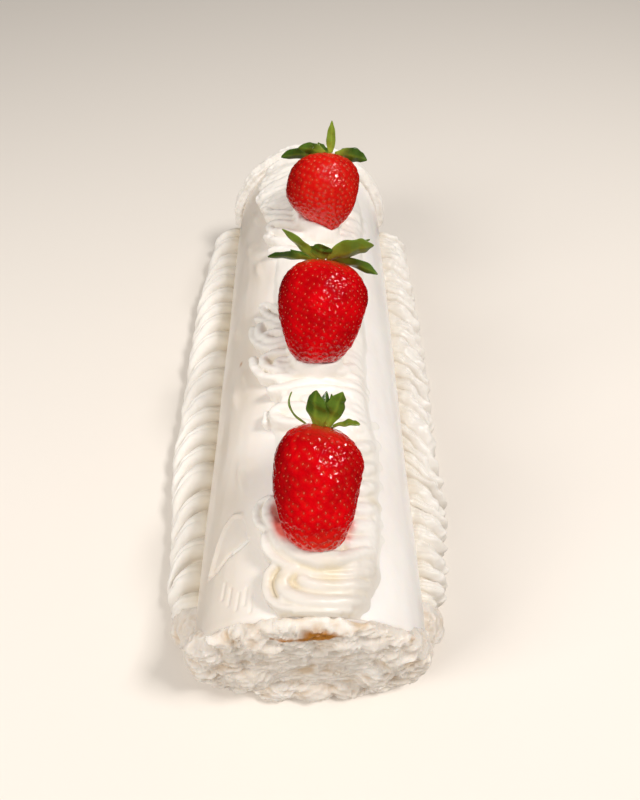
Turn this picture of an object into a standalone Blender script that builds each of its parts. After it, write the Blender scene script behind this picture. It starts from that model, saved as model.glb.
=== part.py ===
"""Strawberry roll cake: an iced roll with a piped border along each side, creamed ends, a piped
ruffle along its top and three whole strawberries with their leaves.

Metres, +Z up. +X is the cake's right, +Y runs from its front end to its back end, and the
origin is at the middle of its base.
"""

import math
import random

import bmesh
import bpy
from mathutils import Matrix, Vector, noise

GAP = 0.0003
WELD = 0.000003
SEED = 11

ROLL_HALF_WIDTH = 0.0485
ROLL_WIDEST = 0.0200
ROLL_RISE = 0.0600
ROLL_SAG = 0.0300
ROLL_FRONT = -0.1395
ROLL_BACK = 0.1460
ROLL_STEPS = 24
ROLL_FOOT_STEPS = 3

BORDER_SHELLS = 25
BORDER_ROWS = (0.0, 0.16, 0.45, 0.78)
BORDER_SWELL = (0.80, 1.0, 1.0, 0.93)
BORDER_BULK = (0.95, 1.04)
BORDER_SIDES = 10
BORDER_FRONT = -0.1200
BORDER_BACK = 0.1565
BORDER_INNER = 0.0370
BORDER_SWEEP = 0.0090
BORDER_TAPER = 0.0090
BORDER_FADE = 0.0200
BORDER_END_SIZE = 0.35
BORDER_REACH_PAST = 0.03
BORDER_GIRTH = 0.6
BORDER_BEND = 0.96
BORDER_ROUND = 0.8
LEFT_BORDER_HEIGHT = 0.0240
RIGHT_BORDER_HEIGHT = 0.0220
LEFT_BORDER_REACH = ((-0.130, 0.060), (-0.100, 0.0668), (-0.030, 0.0730), (0.080, 0.0748), (0.154, 0.0700))
RIGHT_BORDER_REACH = ((-0.130, 0.057), (-0.097, 0.0643), (-0.060, 0.0680), (0.060, 0.0695), (0.154, 0.0680))

RUFFLE_BACK = 0.1335
RUFFLE_FRONT = -0.1300
RUFFLE_CYCLES = 16
RUFFLE_ROPE = 0.0058
RUFFLE_RISE = 0.0022
RUFFLE_COLUMNS = 12
RUFFLE_SLANT = 0.33
RUFFLE_FOOT = 0.0500
RUFFLE_SINK = 0.0012
RUFFLE_SHOULDER = 0.36
RUFFLE_LEFT = ((-0.135, 0.016), (-0.105, 0.020), (-0.080, 0.016), (-0.048, 0.021), (-0.022, 0.0275),
               (0.015, 0.023), (0.055, 0.024), (0.090, 0.030), (0.135, 0.024))
RUFFLE_RIGHT = ((-0.135, 0.023), (-0.100, 0.029), (-0.040, 0.030), (0.040, 0.031), (0.135, 0.028))

FACE_LEAN = 0.0060
FACE_THIN = 0.0022
FACE_ROUGH = 0.0012
FACE_RINGS = (1.0, 0.95, 0.78, 0.58, 0.38, 0.18)
FACE_MIDDLE = 0.0300
FACE_GRAIN = (60.0, 140.0)
FACE_FOOT = 0.8
FACE_SINK = 0.0010
FOOT_HALF_WIDTH = 0.0640
FOOT_DEPTH = 0.0500
FOOT_POWER = 2.3
FOOT_LOBES = 11
FOOT_LOBE = (0.0110, 0.0085, 0.0130)
FOOT_MIDDLE = -0.1000
FOOT_SPREAD = 76
FOOT_RISE = 0.75
FOOT_LIFT = 0.55
RIM_ROPE = 0.0060
RIM_PLACE = 0.0030
RIM_SINK = 0.0002
RIM_FOOT = 0.0270
RIM_SIDES = 8
RIM_UNEVEN = 0.88
TRIM = 0.0030

BERRY_SIDES = 18
BERRY_STEPS = 10
BERRY_SHOULDER = (2.4, 2.2)
BERRIES = {
    "front": {"centre": (0.0062, -0.0970, 0.1010), "radius": 0.0156, "length": 0.0440, "tilt": 32,
              "turn": 2, "widest": 0.36, "fall": 2.6, "round": 1.75, "bow": -0.0022},
    "middle": {"centre": (0.0062, -0.0148, 0.1035), "radius": 0.0195, "length": 0.0465, "tilt": 42,
               "turn": 0, "widest": 0.42, "fall": 2.1, "round": 1.7, "bow": 0.0},
    "back": {"centre": (0.0115, 0.0765, 0.1030), "radius": 0.0185, "length": 0.0395, "tilt": 38,
             "turn": 2, "widest": 0.385, "fall": 1.7, "round": 1.35, "bow": -0.0037},
}

LEAF_THICKNESS = 0.0007
LEAF_HUB = 0.0042
LEAF_STATIONS = ((0.0, 0.38), (0.28, 0.92), (0.55, 1.0), (0.80, 0.58))
LEAF_FOLD = 0.35
# each leaf: its root's compass angle round the stalk, its tip in the stalk's own frame, its
# width, and how far its middle bows out, as a share of its length
LEAVES = {
    "front": (
        (170, (-0.0105, 0.0026, 0.0136), 0.002, 0.1),
        (228, (-0.0014, -0.0109, 0.0123), 0.0072, 0.14),
        (95, (0.0022, 0.0077, 0.0139), 0.005, 0.14),
        (42, (0.0037, 0.005, 0.0125), 0.0042, 0.14),
        (295, (0.0065, -0.0097, 0.0116), 0.0076, 0.14),
        (350, (0.0127, -0.0045, 0.0012), 0.0046, 0.15),
    ),
    "middle": (
        (184, (-0.0234, 0.0036, 0.0024), 0.0042, 0.18),
        (140, (-0.0135, 0.0021, 0.0051), 0.0032, 0.1),
        (218, (-0.0163, -0.0087, 0.0118), 0.0052, 0.1),
        (262, (0.0001, -0.0103, 0.0051), 0.0095, 0.2),
        (46, (0.0211, 0.0019, 0.0093), 0.0042, 0.24),
        (318, (0.0217, -0.0089, 0.0048), 0.009, 0.2),
        (2, (0.0247, 0.0043, -0.0055), 0.0046, 0.2),
    ),
    "back": (
        (290, (0.0018, -0.0108, 0.0134), 0.0052, 0.05),
        (186, (-0.0251, 0.0054, 0.0018), 0.007, 0.26),
        (232, (-0.0159, -0.0052, 0.0022), 0.0065, 0.2),
        (352, (0.0207, 0.0036, -0.0017), 0.008, 0.24),
        (32, (0.0126, 0.0007, 0.0037), 0.006, 0.2),
        (100, (-0.0049, 0.008, 0.0104), 0.006, 0.15),
    ),
}

FINISHES = {
    "icing": ((0.86, 0.81, 0.74), 0.45),
    "piped_cream": ((0.88, 0.83, 0.75), 0.55),
    "strawberry": ((0.62, 0.010, 0.012), 0.25),
    "leaf": ((0.06, 0.14, 0.025), 0.45),
}


def clear_scene():
    for item in list(bpy.data.objects):
        bpy.data.objects.remove(item, do_unlink=True)


def collection(name):
    made = bpy.data.collections.new(name)
    bpy.context.scene.collection.children.link(made)
    return made


def material(name):
    """The named finish as a material, made the first time it is asked for."""
    if name in bpy.data.materials:
        return bpy.data.materials[name]
    colour, roughness = FINISHES[name]
    made = bpy.data.materials.new(name)
    made.use_nodes = True
    shader = made.node_tree.nodes["Principled BSDF"]
    shader.inputs["Base Color"].default_value = (*colour, 1.0)
    shader.inputs["Roughness"].default_value = roughness
    shader.inputs["Metallic"].default_value = 0.0
    made.diffuse_color = (*colour, 1.0)
    return made


def new_object(name, mesh, group, finish=None):
    item = bpy.data.objects.new(name, mesh)
    group.objects.link(item)
    if finish:
        mesh.materials.append(material(finish))
    return item


def mesh_from(bm, name):
    bmesh.ops.triangulate(bm, faces=bm.faces)
    bmesh.ops.recalc_face_normals(bm, faces=bm.faces)
    mesh = bpy.data.meshes.new(name)
    bm.to_mesh(mesh)
    bm.free()
    mesh.shade_smooth()
    mesh.set_sharp_from_angle(angle=math.radians(50))
    return mesh


def loft(name, rings):
    """Closed skin through rings of equal length, with a flat lid on the first and the last."""
    bm = bmesh.new()
    rows = [[bm.verts.new(point) for point in ring] for ring in rings]
    count = len(rows[0])
    for near, far in zip(rows, rows[1:]):
        for i in range(count):
            j = (i + 1) % count
            bm.faces.new((near[i], near[j], far[j], far[i]))
    bm.faces.new(rows[0])
    bm.faces.new(rows[-1])
    return mesh_from(bm, name)


def apply_modifiers(item):
    """Keeps the object's evaluated mesh in place of its mesh and modifiers."""
    shape = bpy.data.meshes.new_from_object(item.evaluated_get(bpy.context.evaluated_depsgraph_get()))
    item.modifiers.clear()
    item.data = shape


def cut(item, cutters):
    """Takes each cutter out of the item, then drops any scrap that comes loose."""
    for cutter in cutters:
        step = item.modifiers.new("cut", "BOOLEAN")
        step.operation = "DIFFERENCE"
        step.object = cutter
        apply_modifiers(item)
        keep_largest(item)


def join(item, group):
    """Fuses the group's objects to the item by one union, and removes them."""
    step = item.modifiers.new("join", "BOOLEAN")
    step.operation = "UNION"
    step.operand_type = "COLLECTION"
    step.collection = group
    apply_modifiers(item)
    for tool in list(group.objects):
        bpy.data.objects.remove(tool, do_unlink=True)
    bpy.data.collections.remove(group)


def islands(bm):
    """The mesh's separate pieces, each as a set of faces."""
    left = set(bm.faces)
    found = []
    while left:
        wave = [left.pop()]
        piece = set(wave)
        while wave:
            face = wave.pop()
            near = {other for edge in face.edges for other in edge.link_faces} & left
            left -= near
            piece |= near
            wave.extend(near)
        found.append(piece)
    return found


def keep_largest(item):
    bm = bmesh.new()
    bm.from_mesh(item.data)
    bmesh.ops.remove_doubles(bm, verts=bm.verts, dist=WELD)
    bmesh.ops.dissolve_degenerate(bm, edges=bm.edges, dist=WELD)
    pieces = sorted(islands(bm), key=lambda piece: sum(face.calc_area() for face in piece))
    loose = [face for piece in pieces[:-1] for face in piece]
    bmesh.ops.delete(bm, geom=loose, context="FACES")
    bmesh.ops.triangulate(bm, faces=bm.faces)
    bm.to_mesh(item.data)
    bm.free()


def between(stations, place):
    """Value at a place along a list of (place, value) stations, eased from one to the next."""
    if place <= stations[0][0]:
        return stations[0][1]
    for (start, low), (end, high) in zip(stations, stations[1:]):
        if place <= end:
            share = (place - start) / (end - start)
            return low + (high - low) * share * share * (3 - 2 * share)
    return stations[-1][1]


def roll_outline(grow=0.0):
    """The roll's cross-section from its right foot over the top to its left foot, as (x, z):
    half an ellipse above its widest line, and the start of a flatter one below."""
    foot = math.asin(ROLL_WIDEST / (ROLL_SAG + grow))
    angles = [foot * (i / ROLL_FOOT_STEPS - 1) for i in range(ROLL_FOOT_STEPS)]
    angles += [math.pi * i / ROLL_STEPS for i in range(ROLL_STEPS + 1)]
    angles += [math.pi - angle for angle in angles[ROLL_FOOT_STEPS - 1::-1]]
    points = []
    for angle in angles:
        reach = (ROLL_RISE if math.sin(angle) > 0 else ROLL_SAG) + grow
        across = math.cos(angle) * (ROLL_HALF_WIDTH + grow)
        points.append((across, max(0.0, ROLL_WIDEST + reach * math.sin(angle))))
    return points


def roll_top(x):
    """Height of the roll's surface over a place across it."""
    return ROLL_WIDEST + ROLL_RISE * math.sqrt(1 - min(1.0, abs(x) / ROLL_HALF_WIDTH) ** 2)


def roll_mesh(name, grow=0.0, beyond=0.0):
    """The roll as a straight oval. A grown one, for cutting its neighbours, reaches below the
    base and, where beyond is given, that far past both ends."""
    outline = roll_outline(grow)
    if grow:
        outline = [(outline[0][0] - TRIM, -TRIM)] + outline + [(outline[-1][0] + TRIM, -TRIM)]
    front = [(x, ROLL_FRONT - grow - beyond, z) for x, z in outline]
    back = [(x, ROLL_BACK + grow + beyond, z) for x, z in outline]
    return loft(name, [front, back])


def border_mesh(name, side, reach, height, grow=0.0):
    """A row of swollen shells lying along one side. Each overlaps the one behind it, and its
    rim bends forward towards the outside. A grown one, for cutting its neighbours, is as full
    all along as the fullest shell."""
    draw = random.Random(SEED + side)
    pitch = (BORDER_BACK - BORDER_FRONT) / BORDER_SHELLS
    rings = []
    for shell in range(BORDER_SHELLS):
        bulk = draw.uniform(*BORDER_BULK)
        for share, swell in zip(BORDER_ROWS, BORDER_SWELL):
            y = BORDER_BACK - (shell + share) * pitch
            fullness = BORDER_BULK[1] if grow else bulk * swell
            rings.append(border_ring(side, reach, height, y, fullness, grow))
    rings.append(border_ring(side, reach, height, BORDER_FRONT, 0.9, grow))
    return loft(name, rings)


def border_ring(side, reach, height, y, swell, grow):
    """One cross-section of a border, from its inner foot over the top to its outer foot."""
    end = min(1.0, (BORDER_BACK - y) / BORDER_TAPER, (y - BORDER_FRONT) / BORDER_TAPER)
    size = BORDER_END_SIZE + (1 - BORDER_END_SIZE) * math.sqrt(max(0.0, 1 - (1 - end) ** 2))
    girth = size * (1 - BORDER_GIRTH + BORDER_GIRTH * swell)
    fade = min(1.0, (BORDER_BACK - y) / BORDER_FADE, (y - BORDER_FRONT) / BORDER_FADE)
    points = []
    for i in range(BORDER_SIDES + 1):
        angle = math.pi * i / BORDER_SIDES
        share = (1 - math.cos(angle)) / 2
        bent = y - BORDER_SWEEP * fade * (1 - math.sqrt(1 - (BORDER_BEND * share) ** 2))
        width = (between(reach, bent) - BORDER_INNER) * girth
        across = BORDER_INNER + width * share + grow * (2 * share - 1)
        rise = (height + grow) * size * swell * math.sin(angle) ** BORDER_ROUND
        below = TRIM if grow and i in (0, BORDER_SIDES) else 0.0
        points.append((side * across, bent + grow * bent / BORDER_BACK, rise - below))
    return points


def ruffle_edges(y):
    """Left and right end of the ruffle's middle line at a place along the cake."""
    return -between(RUFFLE_LEFT, y) + RUFFLE_ROPE, between(RUFFLE_RIGHT, y) - RUFFLE_ROPE


def ruffle_pass(index, across):
    """Place along the cake of one sideways pass, at -1 (left end) to 1 (right end) across it."""
    step = (RUFFLE_BACK - RUFFLE_FRONT) / (2 * RUFFLE_CYCLES - 1)
    way = 1 if index % 2 else -1
    return RUFFLE_BACK - step * (index + way * RUFFLE_SLANT * across)


def ruffle_rise(distance):
    """Height over the roll of a round rope, at a distance from its middle line."""
    if distance >= RUFFLE_ROPE:
        return -RUFFLE_SINK
    return RUFFLE_RISE + math.sqrt(RUFFLE_ROPE ** 2 - distance ** 2)


def ruffle_mesh(name):
    """Zigzag rope laid across the roll's top, each pass leaning on the next, with deep notches
    where two turns part at the sides."""
    last = 2 * RUFFLE_CYCLES - 1
    rows = [(0, -1.0)]
    for index in range(last + 1):
        rows += [(index, -RUFFLE_SHOULDER), (index, RUFFLE_SHOULDER), (index, 1.0)]
    top = []
    for index, offset in rows:
        line = []
        for column in range(RUFFLE_COLUMNS + 1):
            share = 2 * column / RUFFLE_COLUMNS - 1
            across = math.sin(share * math.pi / 2)
            line.append(ruffle_point(index, offset, across, last))
        top.append(line)
    return slab(name, top, RUFFLE_FOOT)


def ruffle_point(index, offset, across, last):
    """Point of the ruffle's skin. offset runs from -1, halfway to the pass behind, to 1, halfway
    to the pass in front, and reaches the rope's side where no pass follows."""
    here = ruffle_pass(index, across)
    other = index + (1 if offset > 0 else -1)
    reach = RUFFLE_ROPE
    if 0 <= other <= last:
        reach = abs(ruffle_pass(other, across) - here) / 2
    y = here - offset * reach
    distance = abs(offset) * reach
    left, right = ruffle_edges(y)
    middle = (left + right) / 2
    half = (right - left) / 2
    x = middle + across * (half + RUFFLE_ROPE)
    past = max(0.0, abs(x - middle) - half)
    return Vector((x, y, roll_top(x) + ruffle_rise(math.hypot(distance, past))))


def slab(name, top, foot):
    """Closed solid under a grid of points, down to a flat foot."""
    bm = bmesh.new()
    rows = [[bm.verts.new(point) for point in line] for line in top]
    for near, far in zip(rows, rows[1:]):
        for i in range(len(near) - 1):
            bm.faces.new((near[i], near[i + 1], far[i + 1], far[i]))
    rim = rows[0] + [row[-1] for row in rows[1:-1]] + rows[-1][::-1] + [row[0] for row in rows[-2:0:-1]]
    low = [bm.verts.new((vert.co.x, vert.co.y, foot)) for vert in rim]
    for i in range(len(rim)):
        j = (i + 1) % len(rim)
        bm.faces.new((rim[i], rim[j], low[j], low[i]))
    bm.faces.new(low)
    return mesh_from(bm, name)


def face_mesh(name, plane, way):
    """Rough layer of cream over an end of the roll, thicker towards the foot. way is -1 in
    front and 1 at the back."""
    outline = roll_outline()
    foot = [(outline[0][0] * (2 * i / 6 - 1), 0.0) for i in range(1, 6)]
    outline = [(x, z) if z > GAP else (FACE_FOOT * x, -TRIM) for x, z in outline[::2] + foot]
    rings = []
    for ring in FACE_RINGS:
        line = []
        for x, z in outline:
            spot = Vector((x * ring, 0.0, FACE_MIDDLE + (z - FACE_MIDDLE) * ring))
            line.append(spot + Vector((0.0, plane + way * face_depth(spot, ring), 0.0)))
        rings.append(line)
    back = [(x, plane, z) for x, z in outline]
    return loft(name, [back] + rings)


def face_depth(spot, ring):
    if ring > 0.99:
        return FACE_THIN * 0.5
    lean = FACE_LEAN * (1 - min(1.0, max(0.0, spot.z) / roll_top(0.0))) ** 1.2
    grain = noise.noise(Vector((spot.x * FACE_GRAIN[0], float(SEED), spot.z * FACE_GRAIN[1])))
    rough = FACE_ROUGH * grain * min(1.0, 2 * ring)
    return FACE_THIN + lean + rough


def foot_lobes(group):
    """Dabs of cream round the foot of the front end, from one side border to the other."""
    draw = random.Random(SEED)
    across, deep, tall = FOOT_LOBE
    for i in range(FOOT_LOBES):
        place = 2 * i / (FOOT_LOBES - 1) - 1
        angle = math.radians(FOOT_SPREAD * place)
        x = math.copysign(abs(math.sin(angle)) ** (2 / FOOT_POWER), angle) * (FOOT_HALF_WIDTH - across)
        y = FOOT_MIDDLE - math.cos(angle) ** (2 / FOOT_POWER) * (FOOT_DEPTH - deep)
        size = draw.uniform(0.94, 1.06)
        height = tall * FOOT_RISE * (1 + abs(place)) * size
        bm = bmesh.new()
        bmesh.ops.create_uvsphere(bm, u_segments=9, v_segments=6, radius=1.0)
        bmesh.ops.scale(bm, vec=(across * size, deep * size, height), verts=bm.verts)
        bmesh.ops.rotate(bm, matrix=Matrix.Rotation(-angle, 3, "Z"), verts=bm.verts)
        bmesh.ops.translate(bm, vec=(x, y, height * FOOT_LIFT), verts=bm.verts)
        new_object(f"foot_lobe_{i}", mesh_from(bm, "foot_lobe"), group)


def rim_mesh(name):
    """Rope of cream round the arch of the back end, standing a little proud of the roll."""
    rings = []
    outline = [(x, z) for x, z in roll_outline() if z > RIM_FOOT]
    for i, (x, z) in enumerate(outline):
        out = Vector((x / ROLL_HALF_WIDTH ** 2, 0.0, (z - ROLL_WIDEST) / ROLL_RISE ** 2)).normalized()
        middle = Vector((x, ROLL_BACK + RIM_PLACE, z)) - out * RIM_SINK
        size = RIM_ROPE * (1.0 if i % 2 else RIM_UNEVEN)
        if i in (0, len(outline) - 1):
            size = RIM_ROPE / 2
        ring = []
        for k in range(RIM_SIDES):
            turn = 2 * math.pi * k / RIM_SIDES
            ring.append(middle + out * size * math.cos(turn) + Vector((0, size * math.sin(turn), 0)))
        rings.append(ring)
    return loft(name, rings)


def berry_radius(shape, share):
    """A strawberry's radius at a share of its length, from its leaves (0) to its tip (1)."""
    widest = shape["widest"]
    if share < widest:
        steep, full = BERRY_SHOULDER
        return shape["radius"] * (1 - (1 - share / widest) ** steep) ** (1 / full)
    fall = ((share - widest) / (1 - widest)) ** shape["fall"]
    return shape["radius"] * max(0.0, 1 - fall) ** (1 / shape["round"])


def berry_object(name, shape, group, grow=0.0):
    """A turned berry, lying tip forward on the ruffle with its leafy end raised."""
    bm = bmesh.new()
    length = shape["length"] + 2 * grow
    line = []
    for i in range(BERRY_STEPS + 1):
        share = (1 - math.cos(math.pi * i / BERRY_STEPS)) / 2
        radius = berry_radius(shape, share)
        if 0 < i < BERRY_STEPS:
            radius += grow
        line.append(bm.verts.new((radius, 0.0, length * (shape["widest"] - share))))
    for start, end in zip(line, line[1:]):
        bm.edges.new((start, end))
    mesh = bpy.data.meshes.new(name)
    bm.to_mesh(mesh)
    bm.free()
    item = new_object(name, mesh, group)
    turned = item.modifiers.new("turned", "SCREW")
    turned.steps = BERRY_SIDES
    turned.render_steps = BERRY_SIDES
    turned.use_merge_vertices = True
    turned.merge_threshold = 0.00005
    apply_modifiers(item)
    for vert in item.data.vertices:
        share = shape["widest"] - vert.co.z / length
        vert.co.x += shape["bow"] * math.sin(math.pi * share)
    item.location = shape["centre"]
    item.rotation_euler = (math.radians(shape["tilt"] - 90), 0.0, math.radians(shape["turn"]))
    return item


def leaf_points(angle, tip, width, arch):
    """Rows of three points along a leaf, then its tip, in the stalk's own frame."""
    outward = Vector((math.cos(math.radians(angle)), math.sin(math.radians(angle)), 0.0))
    upward = Vector((0.0, 0.0, 1.0))
    root = outward * LEAF_HUB
    tip = Vector(tip)
    bend = (root + tip) / 2 + (outward + upward).normalized() * arch * (tip - root).length
    rows = []
    for share, spread in LEAF_STATIONS:
        place = root.lerp(bend, share).lerp(bend.lerp(tip, share), share)
        along = (bend.lerp(tip, share) - root.lerp(bend, share)).normalized()
        across = along.cross(0.5 * upward - outward).normalized()
        half = width * spread / 2
        fold = across.cross(along) * half * LEAF_FOLD
        if share == 0.0:
            across = outward.cross(upward)
            fold = Vector()
        rows.append([place + across * half + fold, place, place - across * half + fold])
    return rows + [[tip]]


def leaves_object(name, leaves, shape, group):
    """A ring of thin leaves round a small hub, standing on the berry's shoulder."""
    bm = bmesh.new()
    hub = bm.verts.new((0.0, 0.0, LEAF_THICKNESS))
    ring = []
    for leaf in sorted(leaves):
        rows = [[bm.verts.new(point) for point in row] for row in leaf_points(*leaf)]
        for near, far in zip(rows, rows[1:]):
            if len(far) == 3:
                bm.faces.new((near[0], near[1], far[1], far[0]))
                bm.faces.new((near[1], near[2], far[2], far[1]))
            else:
                bm.faces.new((near[0], near[1], far[0]))
                bm.faces.new((near[1], near[2], far[0]))
        ring.extend(rows[0])
    for i in range(len(ring)):
        bm.faces.new((hub, ring[i], ring[(i + 1) % len(ring)]))
    bmesh.ops.triangulate(bm, faces=bm.faces)
    item = new_object(name, mesh_from(bm, name), group, "leaf")
    sheet = item.modifiers.new("thickness", "SOLIDIFY")
    sheet.thickness = LEAF_THICKNESS
    sheet.offset = 0.0
    apply_modifiers(item)
    item.rotation_euler = (math.radians(shape["tilt"] - 90), 0.0, math.radians(shape["turn"]))
    up = item.rotation_euler.to_matrix() @ Vector((0.0, 0.0, 1.0))
    shoulder = shape["length"] * shape["widest"] + 2 * GAP + LEAF_THICKNESS / 2
    item.location = Vector(shape["centre"]) + up * shoulder
    return item


def settle(group):
    """Moves every piece so that the origin is under the middle of the whole."""
    bpy.context.view_layer.update()
    spots = [item.matrix_world @ vert.co for item in group.objects for vert in item.data.vertices]
    middle_x = (min(spot.x for spot in spots) + max(spot.x for spot in spots)) / 2
    middle_y = (min(spot.y for spot in spots) + max(spot.y for spot in spots)) / 2
    for item in group.objects:
        item.location.x -= middle_x
        item.location.y -= middle_y


def build():
    clear_scene()
    cake = collection("strawberry_roll_cake")
    tools = collection("cutters")

    new_object("roll", roll_mesh("roll"), cake, "icing")
    roll_tool = new_object("roll_tool", roll_mesh("roll_tool", GAP), tools)
    side_tool = new_object("side_tool", roll_mesh("side_tool", GAP, BORDER_REACH_PAST), tools)

    borders = (("left_border", -1, LEFT_BORDER_REACH, LEFT_BORDER_HEIGHT),
               ("right_border", 1, RIGHT_BORDER_REACH, RIGHT_BORDER_HEIGHT))
    border_tools = []
    for name, side, reach, height in borders:
        border = new_object(name, border_mesh(name, side, reach, height), cake, "piped_cream")
        cut(border, [side_tool])
        grown = border_mesh(f"{name}_tool", side, reach, height, 2 * GAP)
        border_tools.append(new_object(f"{name}_tool", grown, tools))

    front = new_object("front_cream", face_mesh("front_cream", ROLL_FRONT + FACE_SINK, -1), cake, "piped_cream")
    lobes = collection("foot_lobes")
    foot_lobes(lobes)
    join(front, lobes)
    floor = floor_tool(tools)
    cut(front, [floor, roll_tool] + border_tools)

    back = new_object("back_cream", face_mesh("back_cream", ROLL_BACK - FACE_SINK, 1), cake, "piped_cream")
    rim = collection("rim")
    new_object("rim", rim_mesh("rim"), rim)
    join(back, rim)
    cut(back, [floor, roll_tool])

    berry_tools = []
    for place, shape in BERRIES.items():
        berry = berry_object(f"strawberry_{place}", shape, cake)
        berry.data.materials.append(material("strawberry"))
        berry_tools.append(berry_object(f"strawberry_{place}_tool", shape, tools, GAP))
        leaves_object(f"leaves_{place}", LEAVES[place], shape, cake)

    ruffle = new_object("top_ruffle", ruffle_mesh("top_ruffle"), cake, "piped_cream")
    cut(ruffle, [roll_tool] + berry_tools)

    for tool in list(tools.objects):
        bpy.data.objects.remove(tool, do_unlink=True)
    bpy.data.collections.remove(tools)
    settle(cake)


def floor_tool(group):
    """Block under the base plane, which trims what hangs below it."""
    bm = bmesh.new()
    bmesh.ops.create_cube(bm, size=1.0)
    bmesh.ops.scale(bm, vec=(0.4, 0.6, 0.04), verts=bm.verts)
    bmesh.ops.translate(bm, vec=(0.0, 0.0, -0.02), verts=bm.verts)
    return new_object("floor_tool", mesh_from(bm, "floor_tool"), group)


build()
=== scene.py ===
# %% [markdown]
# Strawberry roll cake
#
# An iced roll lies on its flat side. A thick border of piped cream runs along each side, a zigzag
# of piped cream covers the top, rough cream closes both ends, and three whole strawberries stand
# in the zigzag. The plain solids of the cake are already there, so each step below makes the
# visible piece that takes the place of one solid and keeps to its size.

import math
import random

import bpy
import numpy as np
from mathutils import Euler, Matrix, Vector, kdtree, noise


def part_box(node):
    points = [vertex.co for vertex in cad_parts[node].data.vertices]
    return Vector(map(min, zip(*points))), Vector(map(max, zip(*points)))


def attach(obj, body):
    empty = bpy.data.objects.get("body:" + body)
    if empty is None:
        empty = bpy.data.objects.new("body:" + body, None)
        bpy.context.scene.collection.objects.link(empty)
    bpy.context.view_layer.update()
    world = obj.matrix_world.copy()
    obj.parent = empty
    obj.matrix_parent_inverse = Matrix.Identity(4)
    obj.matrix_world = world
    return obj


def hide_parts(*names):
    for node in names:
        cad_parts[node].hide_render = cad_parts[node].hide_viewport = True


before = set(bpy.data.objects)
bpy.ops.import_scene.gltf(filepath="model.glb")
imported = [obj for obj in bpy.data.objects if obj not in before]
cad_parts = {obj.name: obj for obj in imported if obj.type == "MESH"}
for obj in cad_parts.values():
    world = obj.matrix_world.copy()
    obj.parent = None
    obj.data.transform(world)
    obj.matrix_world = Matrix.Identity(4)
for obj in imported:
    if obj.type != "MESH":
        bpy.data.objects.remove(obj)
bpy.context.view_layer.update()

# %% [markdown]
# Every size below is measured from the roll: x from its middle line, y from a mark near the middle
# of its length, z from the table. One offset, worked out from the roll's lowest and highest
# corners, then carries each finished piece to where the solids are.

# %% The roll's own sizes
ROLL_HALF_WIDTH = 0.0485
ROLL_WIDEST = 0.0200
ROLL_RISE = 0.0600
ROLL_SAG = 0.0300
ROLL_FRONT = -0.1395
ROLL_BACK = 0.1460

roll_low, roll_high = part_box("roll")
OFFSET = np.array([(roll_low[0] + roll_high[0]) / 2, roll_low[1] - ROLL_FRONT, 0.0])
print("offset of the roll's middle line", OFFSET.round(5))


def mm(*rows):
    """Rows of numbers in millimetres, turned into metres."""
    return tuple(tuple(value / 1000 for value in row) for row in rows)


def part_of(value, whole):
    """A value as a share of the whole, kept from 0 to 1."""
    return np.clip(value / whole, 0.0, 1.0)


def eased(share):
    """A share from 0 to 1 that starts and ends slowly."""
    return share ** 2 * (3 - 2 * share)


def between(stations, place):
    """Values at places along a list of (place, value) stations, eased from one to the next."""
    places = np.atleast_1d(np.asarray(place, dtype=float))
    marks, values = np.array(stations, dtype=float).T
    at = np.clip(np.searchsorted(marks, places) - 1, 0, len(marks) - 2)
    share = part_of(places - marks[at], marks[at + 1] - marks[at])
    return values[at] + (values[at + 1] - values[at]) * eased(share)


def waver(points, size, seed=0):
    """Smooth noise from -1 to 1 at an array of places, with bumps of the given size."""
    flat = (points.reshape(-1, 3) / size + seed * 7.31).tolist()
    return np.array([noise.noise(place) for place in flat]).reshape(points.shape[:-1])


def roll_top(x):
    """Height of the roll's surface over a place across it."""
    return ROLL_WIDEST + ROLL_RISE * np.sqrt(1 - part_of(np.abs(x), ROLL_HALF_WIDTH) ** 2)


def roll_outward(places):
    """Directions straight out of the roll's oval side."""
    out = np.stack([places[..., 0] / ROLL_HALF_WIDTH ** 2, np.zeros(places.shape[:2]),
                    (places[..., 2] - ROLL_WIDEST) / ROLL_RISE ** 2], axis=-1)
    return out / np.linalg.norm(out, axis=-1, keepdims=True)

# %% [markdown]
# Piped cream is a rope with a star-shaped section, laid down in folds. The easiest way to such a
# surface is a flat primitive grid whose points are laid out row by row: one row of the grid is one
# section of the rope. The first and last columns meet, so merging doubles turns the sheet into a
# tube, and filling its holes closes the ends.

# %% Helpers for sheets and tubes
SEAM = 0.000004


def deselect():
    """Nothing is selected or active, so the next operator acts only on what it makes."""
    for item in list(bpy.context.selected_objects):
        item.select_set(False)
    bpy.context.view_layer.objects.active = None


def choose(item):
    """Only this object is selected and active."""
    deselect()
    item.select_set(True)
    bpy.context.view_layer.objects.active = item


def point_rows(item, what):
    """One row of three values, "co" or "normal", for each of a mesh's points."""
    flat = np.empty(len(item.data.vertices) * 3)
    item.data.vertices.foreach_get(what, flat)
    return flat.reshape(-1, 3)


def put_spots(item, places):
    """Moves a mesh's points to places measured from the roll."""
    item.data.vertices.foreach_set("co", (places + OFFSET).ravel())
    item.data.update()


def add_mark(item, mark, values):
    """Keeps a named value at each point of a mesh, for its material to read."""
    layer = item.data.attributes.new(mark, "FLOAT", "POINT")
    layer.data.foreach_set("value", np.asarray(values, dtype=np.float32))


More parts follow.
